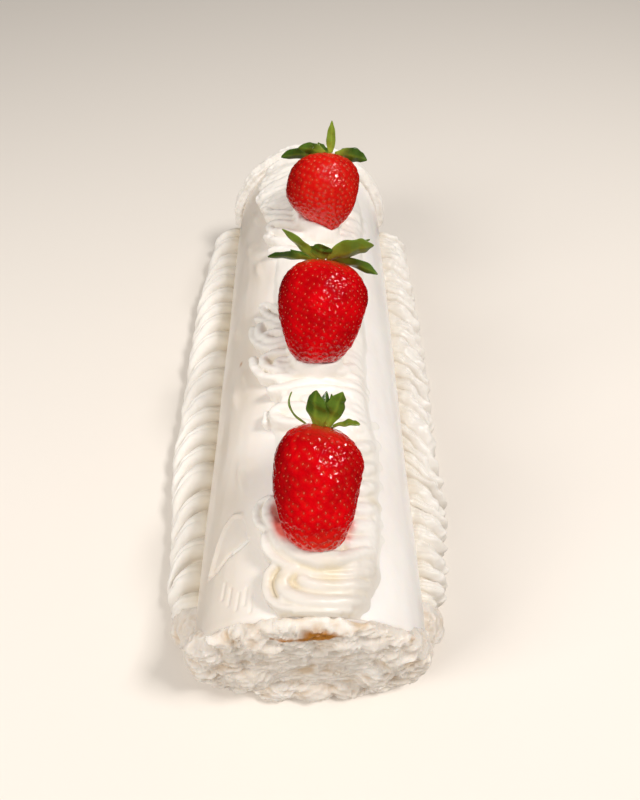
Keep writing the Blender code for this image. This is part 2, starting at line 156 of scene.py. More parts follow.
def sheet(name, places, marks=None):
    """A primitive grid laid out on an array of places, rows by columns. marks are named values
    at each place."""
    rows, columns = places.shape[:2]
    deselect()
    bpy.ops.mesh.primitive_grid_add(x_subdivisions=columns - 1, y_subdivisions=rows - 1, size=2.0)
    item = bpy.context.object
    item.name = name
    start = point_rows(item, "co")
    column = np.rint((start[:, 0] + 1) / 2 * (columns - 1)).astype(int)
    row = np.rint((start[:, 1] + 1) / 2 * (rows - 1)).astype(int)
    put_spots(item, places[row, column])
    for mark, values in (marks or {}).items():
        add_mark(item, mark, values[row, column])
    return item


def close(item):
    """Merges the seam, fills the open ends and turns every face outwards."""
    choose(item)
    bpy.ops.object.mode_set(mode="EDIT")
    bpy.ops.mesh.select_all(action="SELECT")
    bpy.ops.mesh.remove_doubles(threshold=SEAM)
    bpy.ops.mesh.select_all(action="DESELECT")
    bpy.ops.mesh.select_non_manifold()
    bpy.ops.mesh.fill_holes(sides=0)
    bpy.ops.mesh.select_all(action="SELECT")
    bpy.ops.mesh.normals_make_consistent(inside=False)
    bpy.ops.object.mode_set(mode="OBJECT")
    bpy.ops.object.shade_smooth()
    return item


def report(item):
    """Prints how many triangles a piece has."""
    triangles = sum(len(face.vertices) - 2 for face in item.data.polygons)
    print(item.name, triangles, "triangles")

# %% [markdown]
# The camera looks down on the cake from in front. Its place and lens come from matching the roll's
# edges and the berries to the photograph.

# %% Camera
CAMERA_PLACE = np.array([0.0033, -0.1995, 0.2807])
CAMERA_PITCH = 52.808
CAMERA_YAW = 0.654
FRAME_WIDTH = 640
FOCAL_PIXELS = 585
SENSOR_WIDTH = 36.0

deselect()
bpy.ops.object.camera_add(location=CAMERA_PLACE + OFFSET)
camera = bpy.context.object
camera.rotation_euler = (math.radians(90 - CAMERA_PITCH), 0.0, math.radians(-CAMERA_YAW))
camera.data.sensor_fit = "HORIZONTAL"
camera.data.sensor_width = SENSOR_WIDTH
camera.data.lens = SENSOR_WIDTH * FOCAL_PIXELS / FRAME_WIDTH
camera.data.clip_start = 0.01
bpy.context.scene.camera = camera
print("lens in mm", round(camera.data.lens, 2))

# %% [markdown]
# A soft light high on the right gives the white right side and the greyer left side. A weaker one
# from the left keeps the shadows open, a faint one in front lifts the end of the cake, and the
# pale world fills in the rest. Only the first light and the cake itself show in glossy skins, so
# that the fruit keeps small bright glints on a deep red.

# %% Floor and lights
FLOOR_SIZE = 6.0
FLOOR_COLOUR = (0.83, 0.77, 0.70, 1.0)
WORLD_COLOUR = (1.0, 0.97, 0.93, 1.0)
WORLD_STRENGTH = 0.41
LIGHTS_AIM = Vector((0.0, 0.0, 0.05))
# each light: its name, place, size, power and colour, and whether glossy skins show it
LIGHTS = (
    ("key_light", (0.50, -0.16, 0.95), 0.20, 6.8, (1.0, 0.98, 0.965), True),
    ("left_light", (-0.62, -0.40, 0.62), 0.40, 4.1, (1.0, 0.98, 0.96), False),
    ("front_light", (0.10, -0.90, 0.32), 0.40, 0.2, (1.0, 0.98, 0.97), False),
)

deselect()
bpy.ops.mesh.primitive_plane_add(size=FLOOR_SIZE)
floor = bpy.context.object
floor.name = "floor"
floor_finish = bpy.data.materials.new("floor_paint")
floor_finish.use_nodes = True
floor_shader = floor_finish.node_tree.nodes["Principled BSDF"]
floor_shader.inputs["Base Color"].default_value = FLOOR_COLOUR
floor_shader.inputs["Roughness"].default_value = 0.7
floor.data.materials.append(floor_finish)
floor.visible_glossy = False

for name, place, size, power, colour, glossy in LIGHTS:
    deselect()
    bpy.ops.object.light_add(type="AREA", location=place)
    lamp = bpy.context.object
    lamp.name = name
    lamp.data.size = size
    lamp.data.energy = power
    lamp.data.color = colour
    lamp.visible_glossy = glossy
    lamp.rotation_euler = (LIGHTS_AIM - Vector(place)).to_track_quat("-Z", "Y").to_euler()

world = bpy.data.worlds.new("pale_room")
bpy.context.scene.world = world
world.use_nodes = True
world.node_tree.nodes["Background"].inputs["Color"].default_value = WORLD_COLOUR
world.node_tree.nodes["Background"].inputs["Strength"].default_value = WORLD_STRENGTH
world.cycles_visibility.glossy = False
bpy.context.scene.view_settings.view_transform = "Standard"
print(len(LIGHTS), "lights, the first", round(Vector(LIGHTS[0][1]).length, 2), "m away")

# %% [markdown]
# Cream, icing, fruit skin and leaf all show a fine grain and slow changes of tone. Both come from
# one node group: it puts out a mask of slow patches and a bumped normal, and each material gives
# it its own sizes.

# %% Shared node group: grain
GRAIN_SOCKETS = (("Patch Scale", 40.0), ("Grain Scale", 900.0), ("Grain Depth", 0.2),
                 ("Swell Scale", 180.0), ("Swell Depth", 0.2))
NOISE_DETAILS = (("Patch", 3.0), ("Grain", 4.0), ("Swell", 2.0))
BUMP_DISTANCES = (("Swell", 0.0006), ("Grain", 0.0002))
PATCH_CONTRAST = (("From Min", 0.32), ("From Max", 0.68))


def grain_group():
    """Patches of tone and a two-step bump, both fixed to the piece."""
    group = bpy.data.node_groups.new("surface_grain", "ShaderNodeTree")
    for socket, value in GRAIN_SOCKETS:
        made = group.interface.new_socket(
            name=socket, in_out="INPUT", socket_type="NodeSocketFloat")
        made.default_value = value
    for socket, kind in (("Patches", "NodeSocketFloat"), ("Normal", "NodeSocketVector")):
        group.interface.new_socket(name=socket, in_out="OUTPUT", socket_type=kind)
    nodes, links = group.nodes, group.links
    given = nodes.new("NodeGroupInput")
    out = nodes.new("NodeGroupOutput")
    place = nodes.new("ShaderNodeTexCoord")
    noises = {}
    for what, detail in NOISE_DETAILS:
        texture = nodes.new("ShaderNodeTexNoise")
        texture.inputs["Detail"].default_value = detail
        links.new(place.outputs["Object"], texture.inputs["Vector"])
        links.new(given.outputs[f"{what} Scale"], texture.inputs["Scale"])
        noises[what] = texture.outputs["Fac"]
    contrast = nodes.new("ShaderNodeMapRange")
    for socket, value in PATCH_CONTRAST:
        contrast.inputs[socket].default_value = value
    links.new(noises["Patch"], contrast.inputs["Value"])
    links.new(contrast.outputs["Result"], out.inputs["Patches"])
    normal = None
    for what, distance in BUMP_DISTANCES:
        bump = nodes.new("ShaderNodeBump")
        bump.inputs["Distance"].default_value = distance
        links.new(given.outputs[f"{what} Depth"], bump.inputs["Strength"])
        links.new(noises[what], bump.inputs["Height"])
        if normal:
            links.new(normal, bump.inputs["Normal"])
        normal = bump.outputs["Normal"]
    links.new(normal, out.inputs["Normal"])
    return group


GRAIN = grain_group()
print("the grain group has", len(GRAIN.nodes), "nodes")


def mix_colour(tree, fac, first, second):
    """Colour mix of two values, each a colour or a socket, by a mask socket."""
    mix = tree.nodes.new("ShaderNodeMix")
    mix.data_type = "RGBA"
    tree.links.new(fac, mix.inputs["Factor"])
    for socket, value in (("A", first), ("B", second)):
        target = [slot for slot in mix.inputs if slot.name == socket and slot.type == "RGBA"][0]
        if isinstance(value, tuple):
            target.default_value = (*value, 1.0)
        else:
            tree.links.new(value, target)
    return [slot for slot in mix.outputs if slot.type == "RGBA"][0]


def new_finish(name, colours, marks, grain, shine):
    """A Principled material. The patches mix its two colours, and each (mark, colour) pair then
    brings in a colour where the piece carries that mark. grain holds the values of the grain
    group's inputs in their order, and shine those of the shader's inputs by name."""
    finish = bpy.data.materials.new(name)
    finish.use_nodes = True
    tree = finish.node_tree
    shader = tree.nodes["Principled BSDF"]
    surface = tree.nodes.new("ShaderNodeGroup")
    surface.node_tree = GRAIN
    for (socket, _), value in zip(GRAIN_SOCKETS, grain):
        surface.inputs[socket].default_value = value
    for socket, value in shine.items():
        shader.inputs[socket].default_value = value
    tree.links.new(surface.outputs["Normal"], shader.inputs["Normal"])
    colour = mix_colour(tree, surface.outputs["Patches"], *colours)
    for mark, tint in marks:
        reader = tree.nodes.new("ShaderNodeAttribute")
        reader.attribute_name = mark
        colour = mix_colour(tree, reader.outputs["Fac"], colour, tint)
    tree.links.new(colour, shader.inputs["Base Color"])
    return finish

# %% [markdown]
# Whipped cream is a white with a little yellow in it. Light goes a little way into it, which
# softens its creases. Marks carried by the pieces steer the colour. The first is painted shade: a
# darker yellow in hollows, where the cream meets the roll, and on the icing's left and foot. It
# also brings in a few yellow spots. The crust mark is baked brown and the juice mark a red stain. A
# fourth one, thin, is painted shade that greys the cream at the front end a little.

# %% Cream and icing materials
# the grey of the painted shade that the thin mark lays over the front of the zigzag
FRONT_SHADE_GREY = (0.75, 0.70, 0.645)
CRUST_BROWN = (0.40, 0.145, 0.002)
JUICE_RED = (0.78, 0.095, 0.06)


def cream_finish(name, colours, painted_shade_and_yellow, grain, roughness, depth):
    """A cream of two whites. depth is how much of its light comes from inside."""
    marks = (("thin", FRONT_SHADE_GREY), ("painted_shade_and_yellow", painted_shade_and_yellow), ("crust", CRUST_BROWN), ("juice", JUICE_RED))
    return new_finish(name, colours, marks, grain, {
        "Roughness": roughness, "Subsurface Weight": depth, "Subsurface Scale": 0.0025,
        "Subsurface Radius": (1.0, 0.72, 0.48), "Specular IOR Level": 0.45})


# each cream: its two whites, the darker yellow of its painted shade, its grain, its roughness and
# its depth
PIPED_CREAM = cream_finish("piped_cream", ((0.91, 0.865, 0.805), (0.87, 0.82, 0.75)),
                           (0.74, 0.63, 0.44), (55.0, 1400.0, 0.14, 260.0, 0.25), 0.38, 0.06)
ICING = cream_finish("icing", ((0.96, 0.91, 0.865), (0.90, 0.84, 0.785)),
                     (0.62, 0.52, 0.395), (28.0, 1200.0, 0.08, 110.0, 0.30), 0.30, 0.22)
# the end cream is a darker copy of the piped cream, painted shade for the front end
END_CREAM = cream_finish("end_cream", ((0.80, 0.745, 0.68), (0.73, 0.655, 0.57)),
                         (0.61, 0.44, 0.27), (75.0, 1300.0, 0.25, 320.0, 0.50), 0.40, 0.22)
print("cream finishes", [finish.name for finish in (PIPED_CREAM, ICING, END_CREAM)])


def finish_piece(item, node, finish):
    """Gives a piece its material, hangs it on the root and hides the solid it stands for."""
    item.data.materials.clear()
    item.data.materials.append(finish)
    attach(item, "root")
    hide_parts(node)
    report(item)


def finish_cream(item, node, finish=PIPED_CREAM):
    """Finishes a piece of cream. Marks that it hasn't got are set to zero."""
    for mark in ("painted_shade_and_yellow", "crust", "juice", "thin"):
        if mark not in item.data.attributes:
            add_mark(item, mark, np.zeros(len(item.data.vertices)))
    finish_piece(item, node, finish)

# %% [markdown]
# The roll is a sponge coated with icing. It could be a scaled cylinder, but a sheet wrapped round
# an oval section puts its points where they are needed: closer together on the upper left, where
# the icing carries its marks.

# %% Roll section
# arcs of the section: the angle where each ends and how many columns it has
ROLL_ARCS = ((60, 60), (108, 50), (156, 110))
ROLL_LAST_COLUMNS = 24


def section_angles():
    """Angles round the roll's section, closer together on its upper left."""
    foot = math.degrees(math.asin(ROLL_WIDEST / ROLL_SAG))
    parts = []
    start = -foot
    for end, count in (*ROLL_ARCS, (180 + foot, ROLL_LAST_COLUMNS)):
        parts.append(np.linspace(start, end, count, endpoint=False))
        start = end
    return np.radians(np.append(np.concatenate(parts), start))


def oval_section(angle):
    """Points of the roll's section at angles from its right foot over the top to its left foot."""
    reach = np.where(np.sin(angle) > 0, ROLL_RISE, ROLL_SAG)
    return ROLL_HALF_WIDTH * np.cos(angle), np.maximum(0.0, ROLL_WIDEST + reach * np.sin(angle))


print(len(section_angles()), "points round the roll's section")

# %% [markdown]
# A knife spread the icing: nearly smooth, with slow waves, a few dabs and scratches, and one
# leaf-shaped scrape low on its left. The marks are read off the photograph as lines and spots, and
# each raises or presses the sheet by its distance from them. That gives relief that catches the
# light, which a painted mark wouldn't.

# %% Marks in the icing
MARKS_ABOVE = 0.045
# each wave: its depth, how stretched it is along the roll, its size and its seed
ICING_WAVES = ((0.00060, 0.30, 0.018, 1), (0.00016, 0.35, 0.0055, 2))
SCRAPE_TOP = mm(
    (-39.2, -115), (-36.5, -104), (-34, -98.2), (-30.2, -95), (-27.2, -95.8))
SCRAPE_FOOT = mm(
    (-39.2, -116), (-36.4, -115.4), (-31.5, -111.4), (-26.8, -109.8), (-23.4, -107.7),
    (-24.2, -101), (-27.2, -95.8))
SCRAPE_DEPTH = 0.0003
SCRAPE_LIP = 0.0008
SCRAPE_CUT = 0.0007
SCRAPE_EDGE = 0.0009
DABS = mm(
    (-28.4, -78.7), (-35, -31.8), (-27.7, 50.3), (-30, -24), (-35.8, 78.4), (-38, 15), (-33, 105))
DAB_HEIGHT = 0.0011
DAB_SIZE = (0.0016, 0.0060)
DAB_SLANT = 0.25
SCRATCHES = mm(
    (-29.3, -127.9), (-25.9, -130.4), (-22.9, -129.4), (-20.4, -132.3), (-32, -125))
SCRATCH_DEPTH = 0.0004
SCRATCH_WIDTH = 0.0006


def near_line(x, y, line, width):
    """1 on a line of points, falling to 0 at the width away from it."""
    best = np.full(x.shape, 1e9)
    for (x1, y1), (x2, y2) in zip(line, line[1:]):
        run = np.array([x2 - x1, y2 - y1])
        share = part_of((x - x1) * run[0] + (y - y1) * run[1], run @ run)
        best = np.minimum(best, np.hypot(x - x1 - share * run[0], y - y1 - share * run[1]))
    return np.exp(-(best / width) ** 2)


def inside(x, y, outline):
    """True inside a closed outline of points."""
    hit = np.zeros(x.shape, dtype=bool)
    for (x1, y1), (x2, y2) in zip(outline, outline[1:] + outline[:1]):
        crosses = (y1 > y) != (y2 > y)
        side = (x2 - x1) * (y - y1) / (y2 - y1 + 1e-12) + x1
        hit ^= crosses & (x < side)
    return hit


def roll_relief(places):
    """How far the icing stands out of the plain oval, at each place."""
    x, y, z = np.moveaxis(places, -1, 0)
    upper = z > MARKS_ABOVE
    out = sum(depth * waver(places * np.array([1.0, stretch, 1.0]), size, seed)
              for depth, stretch, size, seed in ICING_WAVES)
    out -= SCRAPE_DEPTH * (inside(x, y, SCRAPE_TOP + SCRAPE_FOOT[::-1]) & upper)
    out += SCRAPE_LIP * near_line(x, y, SCRAPE_TOP, SCRAPE_EDGE) * upper
    out -= SCRAPE_CUT * near_line(x, y, SCRAPE_FOOT[:5], SCRAPE_EDGE) * upper
    for dab_x, dab_y in DABS:
        away = np.hypot((x - dab_x + DAB_SLANT * (y - dab_y)) / DAB_SIZE[0],
                        (y - dab_y) / DAB_SIZE[1])
        out += DAB_HEIGHT * np.exp(-away ** 2) * upper
    for cut_x, cut_y in SCRATCHES:
        cut = ((cut_x, cut_y - 0.0025), (cut_x + 0.0006, cut_y + 0.0030))
        out -= SCRATCH_DEPTH * near_line(x, y, cut, SCRATCH_WIDTH) * upper
    return out


print(len(DABS), "dabs and", len(SCRATCHES), "scratches in the icing")

# %% [markdown]
# The rows of the sheet run from the back to the front, closer together over the last stretch, and
# its front edge is rounded off. Painted shade greys the icing on its left, it is darker low down,
# and one brown crumb sticks in it. The sheet carries these as marks for its material.

# %% The iced roll
ROLL_ROWS = 120
ROLL_FINE_ROWS = 210
ROLL_FINE_FROM = -0.0900
ROLL_ROUNDING = 0.0035
ROLL_UNDER = 0.0003
CRUMB = (-0.0331, -0.0124)
CRUMB_REACH = 0.0006


def build_roll():
    """The roll as a tube, with painted shade on its left and darker low down."""
    across, height = oval_section(section_angles())
    along = np.concatenate([np.linspace(ROLL_BACK, ROLL_FINE_FROM, ROLL_ROWS),
                            np.linspace(ROLL_FINE_FROM, ROLL_FRONT, ROLL_FINE_ROWS)[1:]])
    under = np.linspace(-1.0, 1.0, 12)[1:]
    places = np.zeros((len(along), len(across) + len(under), 3))
    places[..., 0] = np.concatenate([across, across[0] * under])
    places[..., 1] = along[:, None]
    places[..., 2] = np.concatenate([height, 0.0 * under])
    x, y, z = np.moveaxis(places, -1, 0)
    relief = roll_relief(places) - ROLL_UNDER
    from_front = part_of(y - ROLL_FRONT, ROLL_ROUNDING)
    relief -= ROLL_ROUNDING * 0.8 * (1 - np.sqrt(1 - (1 - from_front) ** 2))
    relief[z < 0.004] = 0.0
    # the icing turns darker low down, and painted shade greys its left side
    foot = np.clip(0.36 - (z - 0.020) / 0.014, 0, 0.30)
    painted_left_shade = part_of(-x - 0.010, 0.018) * (0.52 + 0.16 * waver(places, 0.020, 9))
    crumb = np.exp(-(np.hypot(x - CRUMB[0], y - CRUMB[1]) / CRUMB_REACH) ** 2) * (z > MARKS_ABOVE)
    marks = {"painted_shade_and_yellow": np.maximum(foot, painted_left_shade), "crust": np.clip(crumb, 0, 0.75)}
    roll = sheet("iced_roll", places + roll_outward(places) * relief[..., None], marks)
    finish_cream(close(roll), "roll", ICING)


build_roll()

# %% [markdown]
# A side border is one long row of overlapping folds. Each fold starts at a crease that runs over
# the top and then bends forward down the outer side, so on the outside the folds show as nested
# crescents. The rows of the sheet follow the creases, which keeps them sharp.

# %% Side borders
BORDER_FRONT = -0.1200
BORDER_BACK = 0.1565
BORDER_INNER = 0.0370
BORDER_TAPER = 0.0090
BORDER_FADE = 0.0300
FOLD_ROWS = 28
FOLD_COLUMNS = 80
RIDGE_PEAK = 0.42
UNDER_BORDER = 8
# the drawn ranges: a fold's length, its bulk, and how far its tip stands out
FOLD_RANGES = ((0.80, 1.20), (0.90, 1.02), (0.45, 1.25))


def from_peak(phase, peak):
    """0 at the peak of a stretch from 0 to 1, growing to 1 at both its ends."""
    return np.abs(2 * np.clip(phase, 0.0, 1.0) ** (math.log(0.5) / math.log(peak)) - 1)


def hump(phase, peak, fullness=2.0):
    """A rounded hump over a stretch from 0 to 1, highest at its peak."""
    return np.sqrt(np.clip(1 - from_peak(phase, peak) ** fullness, 0.0, 1.0))


def ridges(phase, edges):
    """Small humps side by side between the edges, as a star nozzle leaves them."""
    marks = np.array([0.0, *edges, 1.0])
    at = np.clip(np.searchsorted(marks, phase, side="right") - 1, 0, len(marks) - 2)
    return hump((phase - marks[at]) / (marks[at + 1] - marks[at]), RIDGE_PEAK)


def build_border(name, side, plan):
    """One border: side is -1 for the left one and 1 for the right one."""
    seed, folds = plan["seed"], plan["folds"]
    draw = random.Random(seed)
    sizes, bulks, tips = (np.array([draw.uniform(low, high) for _ in range(folds)])
                          for low, high in FOLD_RANGES)
    starts = np.concatenate([[0.0], np.cumsum(sizes)]) / sizes.sum()
    fold = np.append(np.repeat(np.arange(folds), FOLD_ROWS), folds - 1)
    phase = np.append(np.tile(np.linspace(0.0, 1.0, FOLD_ROWS, endpoint=False), folds), 0.0)
    down = starts[fold] + phase * (starts[fold + 1] - starts[fold])
    down[-1] = 1.0
    line = (BORDER_BACK - (BORDER_BACK - BORDER_FRONT) * down)[:, None]
    phase, bulk, tip_size = phase[:, None], bulks[fold][:, None], tips[fold][:, None]

    angle = np.linspace(0.0, math.pi, FOLD_COLUMNS)[None, :]
    share = (1 - np.cos(angle)) / 2
    to_end = np.minimum(BORDER_BACK - line, line - BORDER_FRONT)
    size = 0.35 + 0.65 * np.sqrt(1 - (1 - part_of(to_end, BORDER_TAPER)) ** 2)
    sweep = between(plan["sweep"], line.ravel())[:, None] * part_of(to_end, BORDER_FADE)
    sweep *= 1 + plan["stray"] * waver(line * np.array([1.0, 0.0, 0.0]), 0.021, seed)[:, None]
    straight = plan["straight"]
    y = line - sweep * (straight * share + (1 - straight) * share ** plan["arch"])
    puffed = hump(phase, plan["peak"], plan["fullness"])
    finely = ridges(phase, plan["ridges"])
    deep = between(plan["crease"], share.ravel())[None, :]
    fine = between(plan["ridge"], share.ravel())[None, :]
    full = bulk * (1 - deep * (1 - puffed) - fine * (1 - finely))
    reach = between(plan["reach"], y.ravel()).reshape(y.shape)
    uneven_tip = from_peak(phase, plan["tip"]) ** plan["point"] * share ** 2 * tip_size
    width = (reach - BORDER_INNER) * size * (1 - plan["notch"] * uneven_tip)
    x = BORDER_INNER + width * share
    z = plan["height"] * size * full * np.sin(angle) ** 0.8
    places = np.stack([side * x, y, np.maximum(z, 0.0)], axis=-1)
    lift = waver(places, 0.008, seed) + 0.4 * waver(places, 0.0034, seed + 1)
    lift *= plan["uneven"]
    loose = part_of(places[..., 2], 0.004)
    places[..., 0] += side * lift * share * loose
    places[..., 2] += lift * loose

    under = np.linspace(1.0, 0.0, UNDER_BORDER + 1)[1:]
    foot = places[:, -1:, :] + (places[:, :1, :] - places[:, -1:, :]) * (1 - under)[None, :, None]
    foot[..., 2] = 0.0
    places = np.concatenate([places, foot], axis=1)
    # painted shade: the cream turns a darker yellow close to the roll, in patches
    near_roll = np.clip(1 - (np.abs(places[..., 0]) - 0.0475) / 0.0115, 0.0, 1.0)
    patchy = 0.62 + 0.38 * waver(places, 0.012, 5)
    painted_shade_and_yellow = np.clip(plan["painted_shade_and_yellow"] * near_roll * patchy, 0.0, 0.8)
    painted_shade_and_yellow *= part_of(places[..., 1] - BORDER_FRONT, 0.006)
    border = close(sheet(name, places, {"painted_shade_and_yellow": painted_shade_and_yellow}))
    finish_cream(border, name.replace("piped_", ""))


print("borders run from", BORDER_FRONT, "to", BORDER_BACK)

# %% [markdown]
# The two borders come from one function and differ only in their plans. The left one has broad
# curved folds, and the right one has more of them, flatter and straighter, that lie a little
# askew. The lists in a plan give a value for places along the border, or for shares of the way
# over it.

# %% The two borders
build_border("piped_left_border", -1, {
    "seed": 12, "folds": 21, "height": 0.0250, "straight": 0.0, "arch": 4.2,
    "ridges": (0.26, 0.50), "ridge": ((0.0, 0.0), (0.45, 0.016), (1.0, 0.08)),
    "crease": ((0.0, 0.24), (0.35, 0.32), (0.70, 0.42), (1.0, 0.55)), "peak": 0.52,
    "fullness": 2.7, "notch": 0.22, "tip": 0.5, "point": 2.0, "stray": 0.2, "uneven": 0.0007,
    "painted_shade_and_yellow": 1.0, "sweep": mm((-120, 15), (-80, 19), (0, 19), (156, 16)),
    "reach": mm((-130, 61), (-100, 68.5), (-30, 75), (80, 75.5), (154, 70.5))})
build_border("piped_right_border", 1, {
    "seed": 5, "folds": 28, "height": 0.0225, "straight": 0.85, "arch": 2.5,
    "ridges": (0.30, 0.62), "ridge": ((0.0, 0.015), (0.5, 0.035), (1.0, 0.07)),
    "crease": ((0.0, 0.07), (0.5, 0.12), (1.0, 0.32)), "peak": 0.55,
    "fullness": 2.4, "notch": 0.20, "tip": 0.58, "point": 1.3, "stray": 0.7, "uneven": 0.0019,
    "painted_shade_and_yellow": 0.50, "sweep": mm((-120, 4), (-85, 8), (-40, 24), (10, 24), (60, 18), (156, 14)),
    "reach": mm((-130, 57), (-97, 66), (-60, 70), (60, 71.5), (154, 70))})

# %% [markdown]
# The berries are pressed into the cream, so their shape is settled before the zigzag: the cream
# swells up in front of each tip and takes a pink stain where it touches the front one. A berry is
# a turned shape, a radius for each share of its length, tipped over to lie on the cake.

# %% Berry shapes
BERRIES = {
    "front": {
        "centre": (0.0070, -0.0955, 0.1016), "radius": 0.0158, "length": 0.0431, "tilt": 34,
        "turn": 2, "widest": 0.377, "fall": 1.25, "round": 3.7, "bow": -0.0030, "slant": 0.31,
        "lean": -0.0038, "lumps": 0.0006},
    "middle": {
        "centre": (0.0074, -0.0148, 0.1057), "radius": 0.0192, "length": 0.0442, "tilt": 40,
        "turn": 0, "widest": 0.414, "fall": 1.20, "round": 3.2, "bow": -0.0004, "slant": 0.10,
        "lean": -0.0031, "lumps": 0.0004},
    "back": {
        "centre": (0.0124, 0.0765, 0.1027), "radius": 0.0190, "length": 0.0379, "tilt": 38,
        "turn": 2, "widest": 0.405, "fall": 2.13, "round": 1.15, "bow": -0.0048, "slant": 0.15,
        "lean": -0.0004, "lumps": 0.0004},
}


def berry_radius(shape, share):
    """A berry's radius at a share of its length, from its leaves (0) to its tip (1)."""
    widest = shape["widest"]
    near = np.clip(1 - np.abs(1 - share / widest) ** 2.4, 0.0, 1.0) ** (1 / 2.2)
    along = part_of(share - widest, 1 - widest)
    far = np.clip(1 - along ** shape["fall"], 0.0, 1.0) ** (1 / shape["round"])
    return shape["radius"] * np.where(share < widest, near, far)


def berry_middle(shape, share):
    """How far a berry's middle line bends to the side at a share of its length."""
    return shape["bow"] * np.sin(math.pi * share) + shape["lean"] * share ** 2


def berry_place(shape, share, angle):
    """Places on a berry's plain skin, in the berry's own upright frame."""
    radius = berry_radius(shape, share)
    x = radius * np.cos(angle) + berry_middle(shape, share)
    slant = -shape["slant"] * x * np.exp(-(share / 0.30) ** 2)
    height = shape["length"] * (shape["widest"] - share) + slant
    return np.stack([x, radius * np.sin(angle), height], axis=-1)


def berry_turn(shape):
    """The turn that tips a berry over, as a 3 by 3 array."""
    tilt = Euler((math.radians(shape["tilt"] - 90), 0.0, math.radians(shape["turn"])))
    return np.array(tilt.to_matrix())


def to_cake(shape, places):
    """Tips a berry over to its place on the cake."""
    return places @ berry_turn(shape).T + np.array(shape["centre"])


def berry_gap(shape, places):
    """How far places on the cake are from a berry's skin, below zero inside it."""
    own = (places - np.array(shape["centre"])) @ berry_turn(shape)
    share = np.clip(shape["widest"] - own[..., 2] / shape["length"], 0.0, 1.0)
    beyond = np.abs(own[..., 2] - shape["length"] * (shape["widest"] - share))
    aside = np.hypot(own[..., 0] - berry_middle(shape, share), own[..., 1])
    return aside - berry_radius(shape, share) + beyond


for berry_name, berry_shape in BERRIES.items():
    tip = to_cake(berry_shape, berry_place(berry_shape, np.array(1.0), np.array(0.0)))
    print(berry_name, "berry's tip at", tip.round(4))

# %% [markdown]
# The zigzag on top was piped with a star nozzle, so every stroke is a bundle of ridges that turn
# back on themselves on the left and are smeared flat on the right. Its upper side has no
# overhangs to speak of, so it can be made as a relief: a height over the roll for each place,
# where each ridge raises the cream round its own line and the highest one wins. That gives sharp
# creases where strokes meet.

# %% Helpers for a relief of ridges
MOUND_HEIGHT = 0.82
MOUND_FOOT = 0.0008


def even_path(path, spacing):
    """The same line with points an even distance apart."""
    steps = np.linalg.norm(np.diff(path, axis=0), axis=1)
    length = np.concatenate([[0.0], np.cumsum(steps)])
    at = np.linspace(0.0, length[-1], int(length[-1] / spacing) + 2)
    return np.stack([np.interp(at, length, values) for values in path.T], axis=1)


def soft_line(points, spacing=0.0004, passes=40):
    """An even line through a few points with its corners rounded off."""
    line = even_path(np.array(points, dtype=float), spacing)
    for _ in range(passes):
        line[1:-1] = (line[:-2] + 2 * line[1:-1] + line[2:]) / 4
    return line


def raise_ridge(field, x, y, line, halves, crests, mound):
    """Raises a field of heights along a line. halves are the half widths and crests the heights
    at the line's two ends. A mound falls to the roll as an oval, a ridge is a round rope."""
    low = line.min(axis=0) - max(halves)
    high = line.max(axis=0) + max(halves)
    columns = np.nonzero((x > low[0]) & (x < high[0]))[0]
    rows = np.nonzero((y > low[1]) & (y < high[1]))[0]
    if len(columns) == 0 or len(rows) == 0:
        return
    window = np.ix_(rows, columns)
    places = np.stack(np.meshgrid(x[columns], y[rows]), axis=-1)
    away = np.hypot(places[..., 0, None] - line[:, 0], places[..., 1, None] - line[:, 1])
    nearest = away.argmin(axis=-1)
    away = away.min(axis=-1)
    share = nearest / (len(line) - 1)
    half = halves[0] + (halves[1] - halves[0]) * share
    crest = crests[0] + (crests[1] - crests[0]) * share
    crest = crest * smear(line[nearest, 0], line[nearest, 1])
    crest = crest * (MOUND_HEIGHT if mound else 1.0)
    drop = crest + MOUND_FOOT if mound else half
    height = crest - drop * (1 - np.sqrt(np.clip(1 - (away / half) ** 2, 0.0, 1.0)))
    field[window] = np.where(away < half, np.maximum(field[window], height), field[window])


def blurred(field, passes):
    """A field averaged with its neighbours, several times over."""
    for _ in range(passes):
        field = np.pad(field, 1, mode="edge")
        field = (field[:-2] + 2 * field[1:-1] + field[2:]) / 4
        field = (field[:, :-2] + 2 * field[:, 1:-1] + field[:, 2:]) / 4
    return field


print("a corner as a soft line has", len(soft_line(mm((0, 0), (10, 0), (10, 10)))), "points")

# %% [markdown]
# The lines of the strokes are read off the photograph, place by place, and kept as a few points
# each, which soft_line then rounds off. Broad mounds give the strokes their bulk and narrow ridges
# lie on top of them. Behind the middle berry only curls on the left show.

# %% Strokes of the zigzag
# mounds and ridges in mm: the line seen from above, the half widths and the heights at its ends
MOUNDS = (
    (((17.9, -132), (6.6, -134.4), (-2.4, -133.5), (-7.5, -131.2), (-10.7, -127.7), (-9.2, -124.4),
      (-4.9, -123.5)), (4.4, 4.4), (4.6, 5)),
    (((-2.4, -128.6), (8.2, -128.9), (18.9, -126.8)), (4.6, 5), (5.2, 4.4)),
    (((-12.6, -111.9), (-10.4, -117.1), (-5.4, -120.9), (1.2, -123.1), (9.9, -122.8),
      (20.6, -119.2)), (4.4, 4.2), (6.6, 4.6)),
    (((-14.6, -96.3), (-15.9, -100.6), (-13.2, -106.4), (-8.8, -111.3)), (4, 4), (5.6, 7)),
    (((-18.4, -26.2), (-12.7, -27.8), (-3.1, -32.4)), (4.6, 4.8), (5.6, 5.4)),
    (((-21.7, -6.5), (-16.6, -11.2), (-9.8, -13.1)), (4.2, 4.2), (5.4, 5.6)),
)
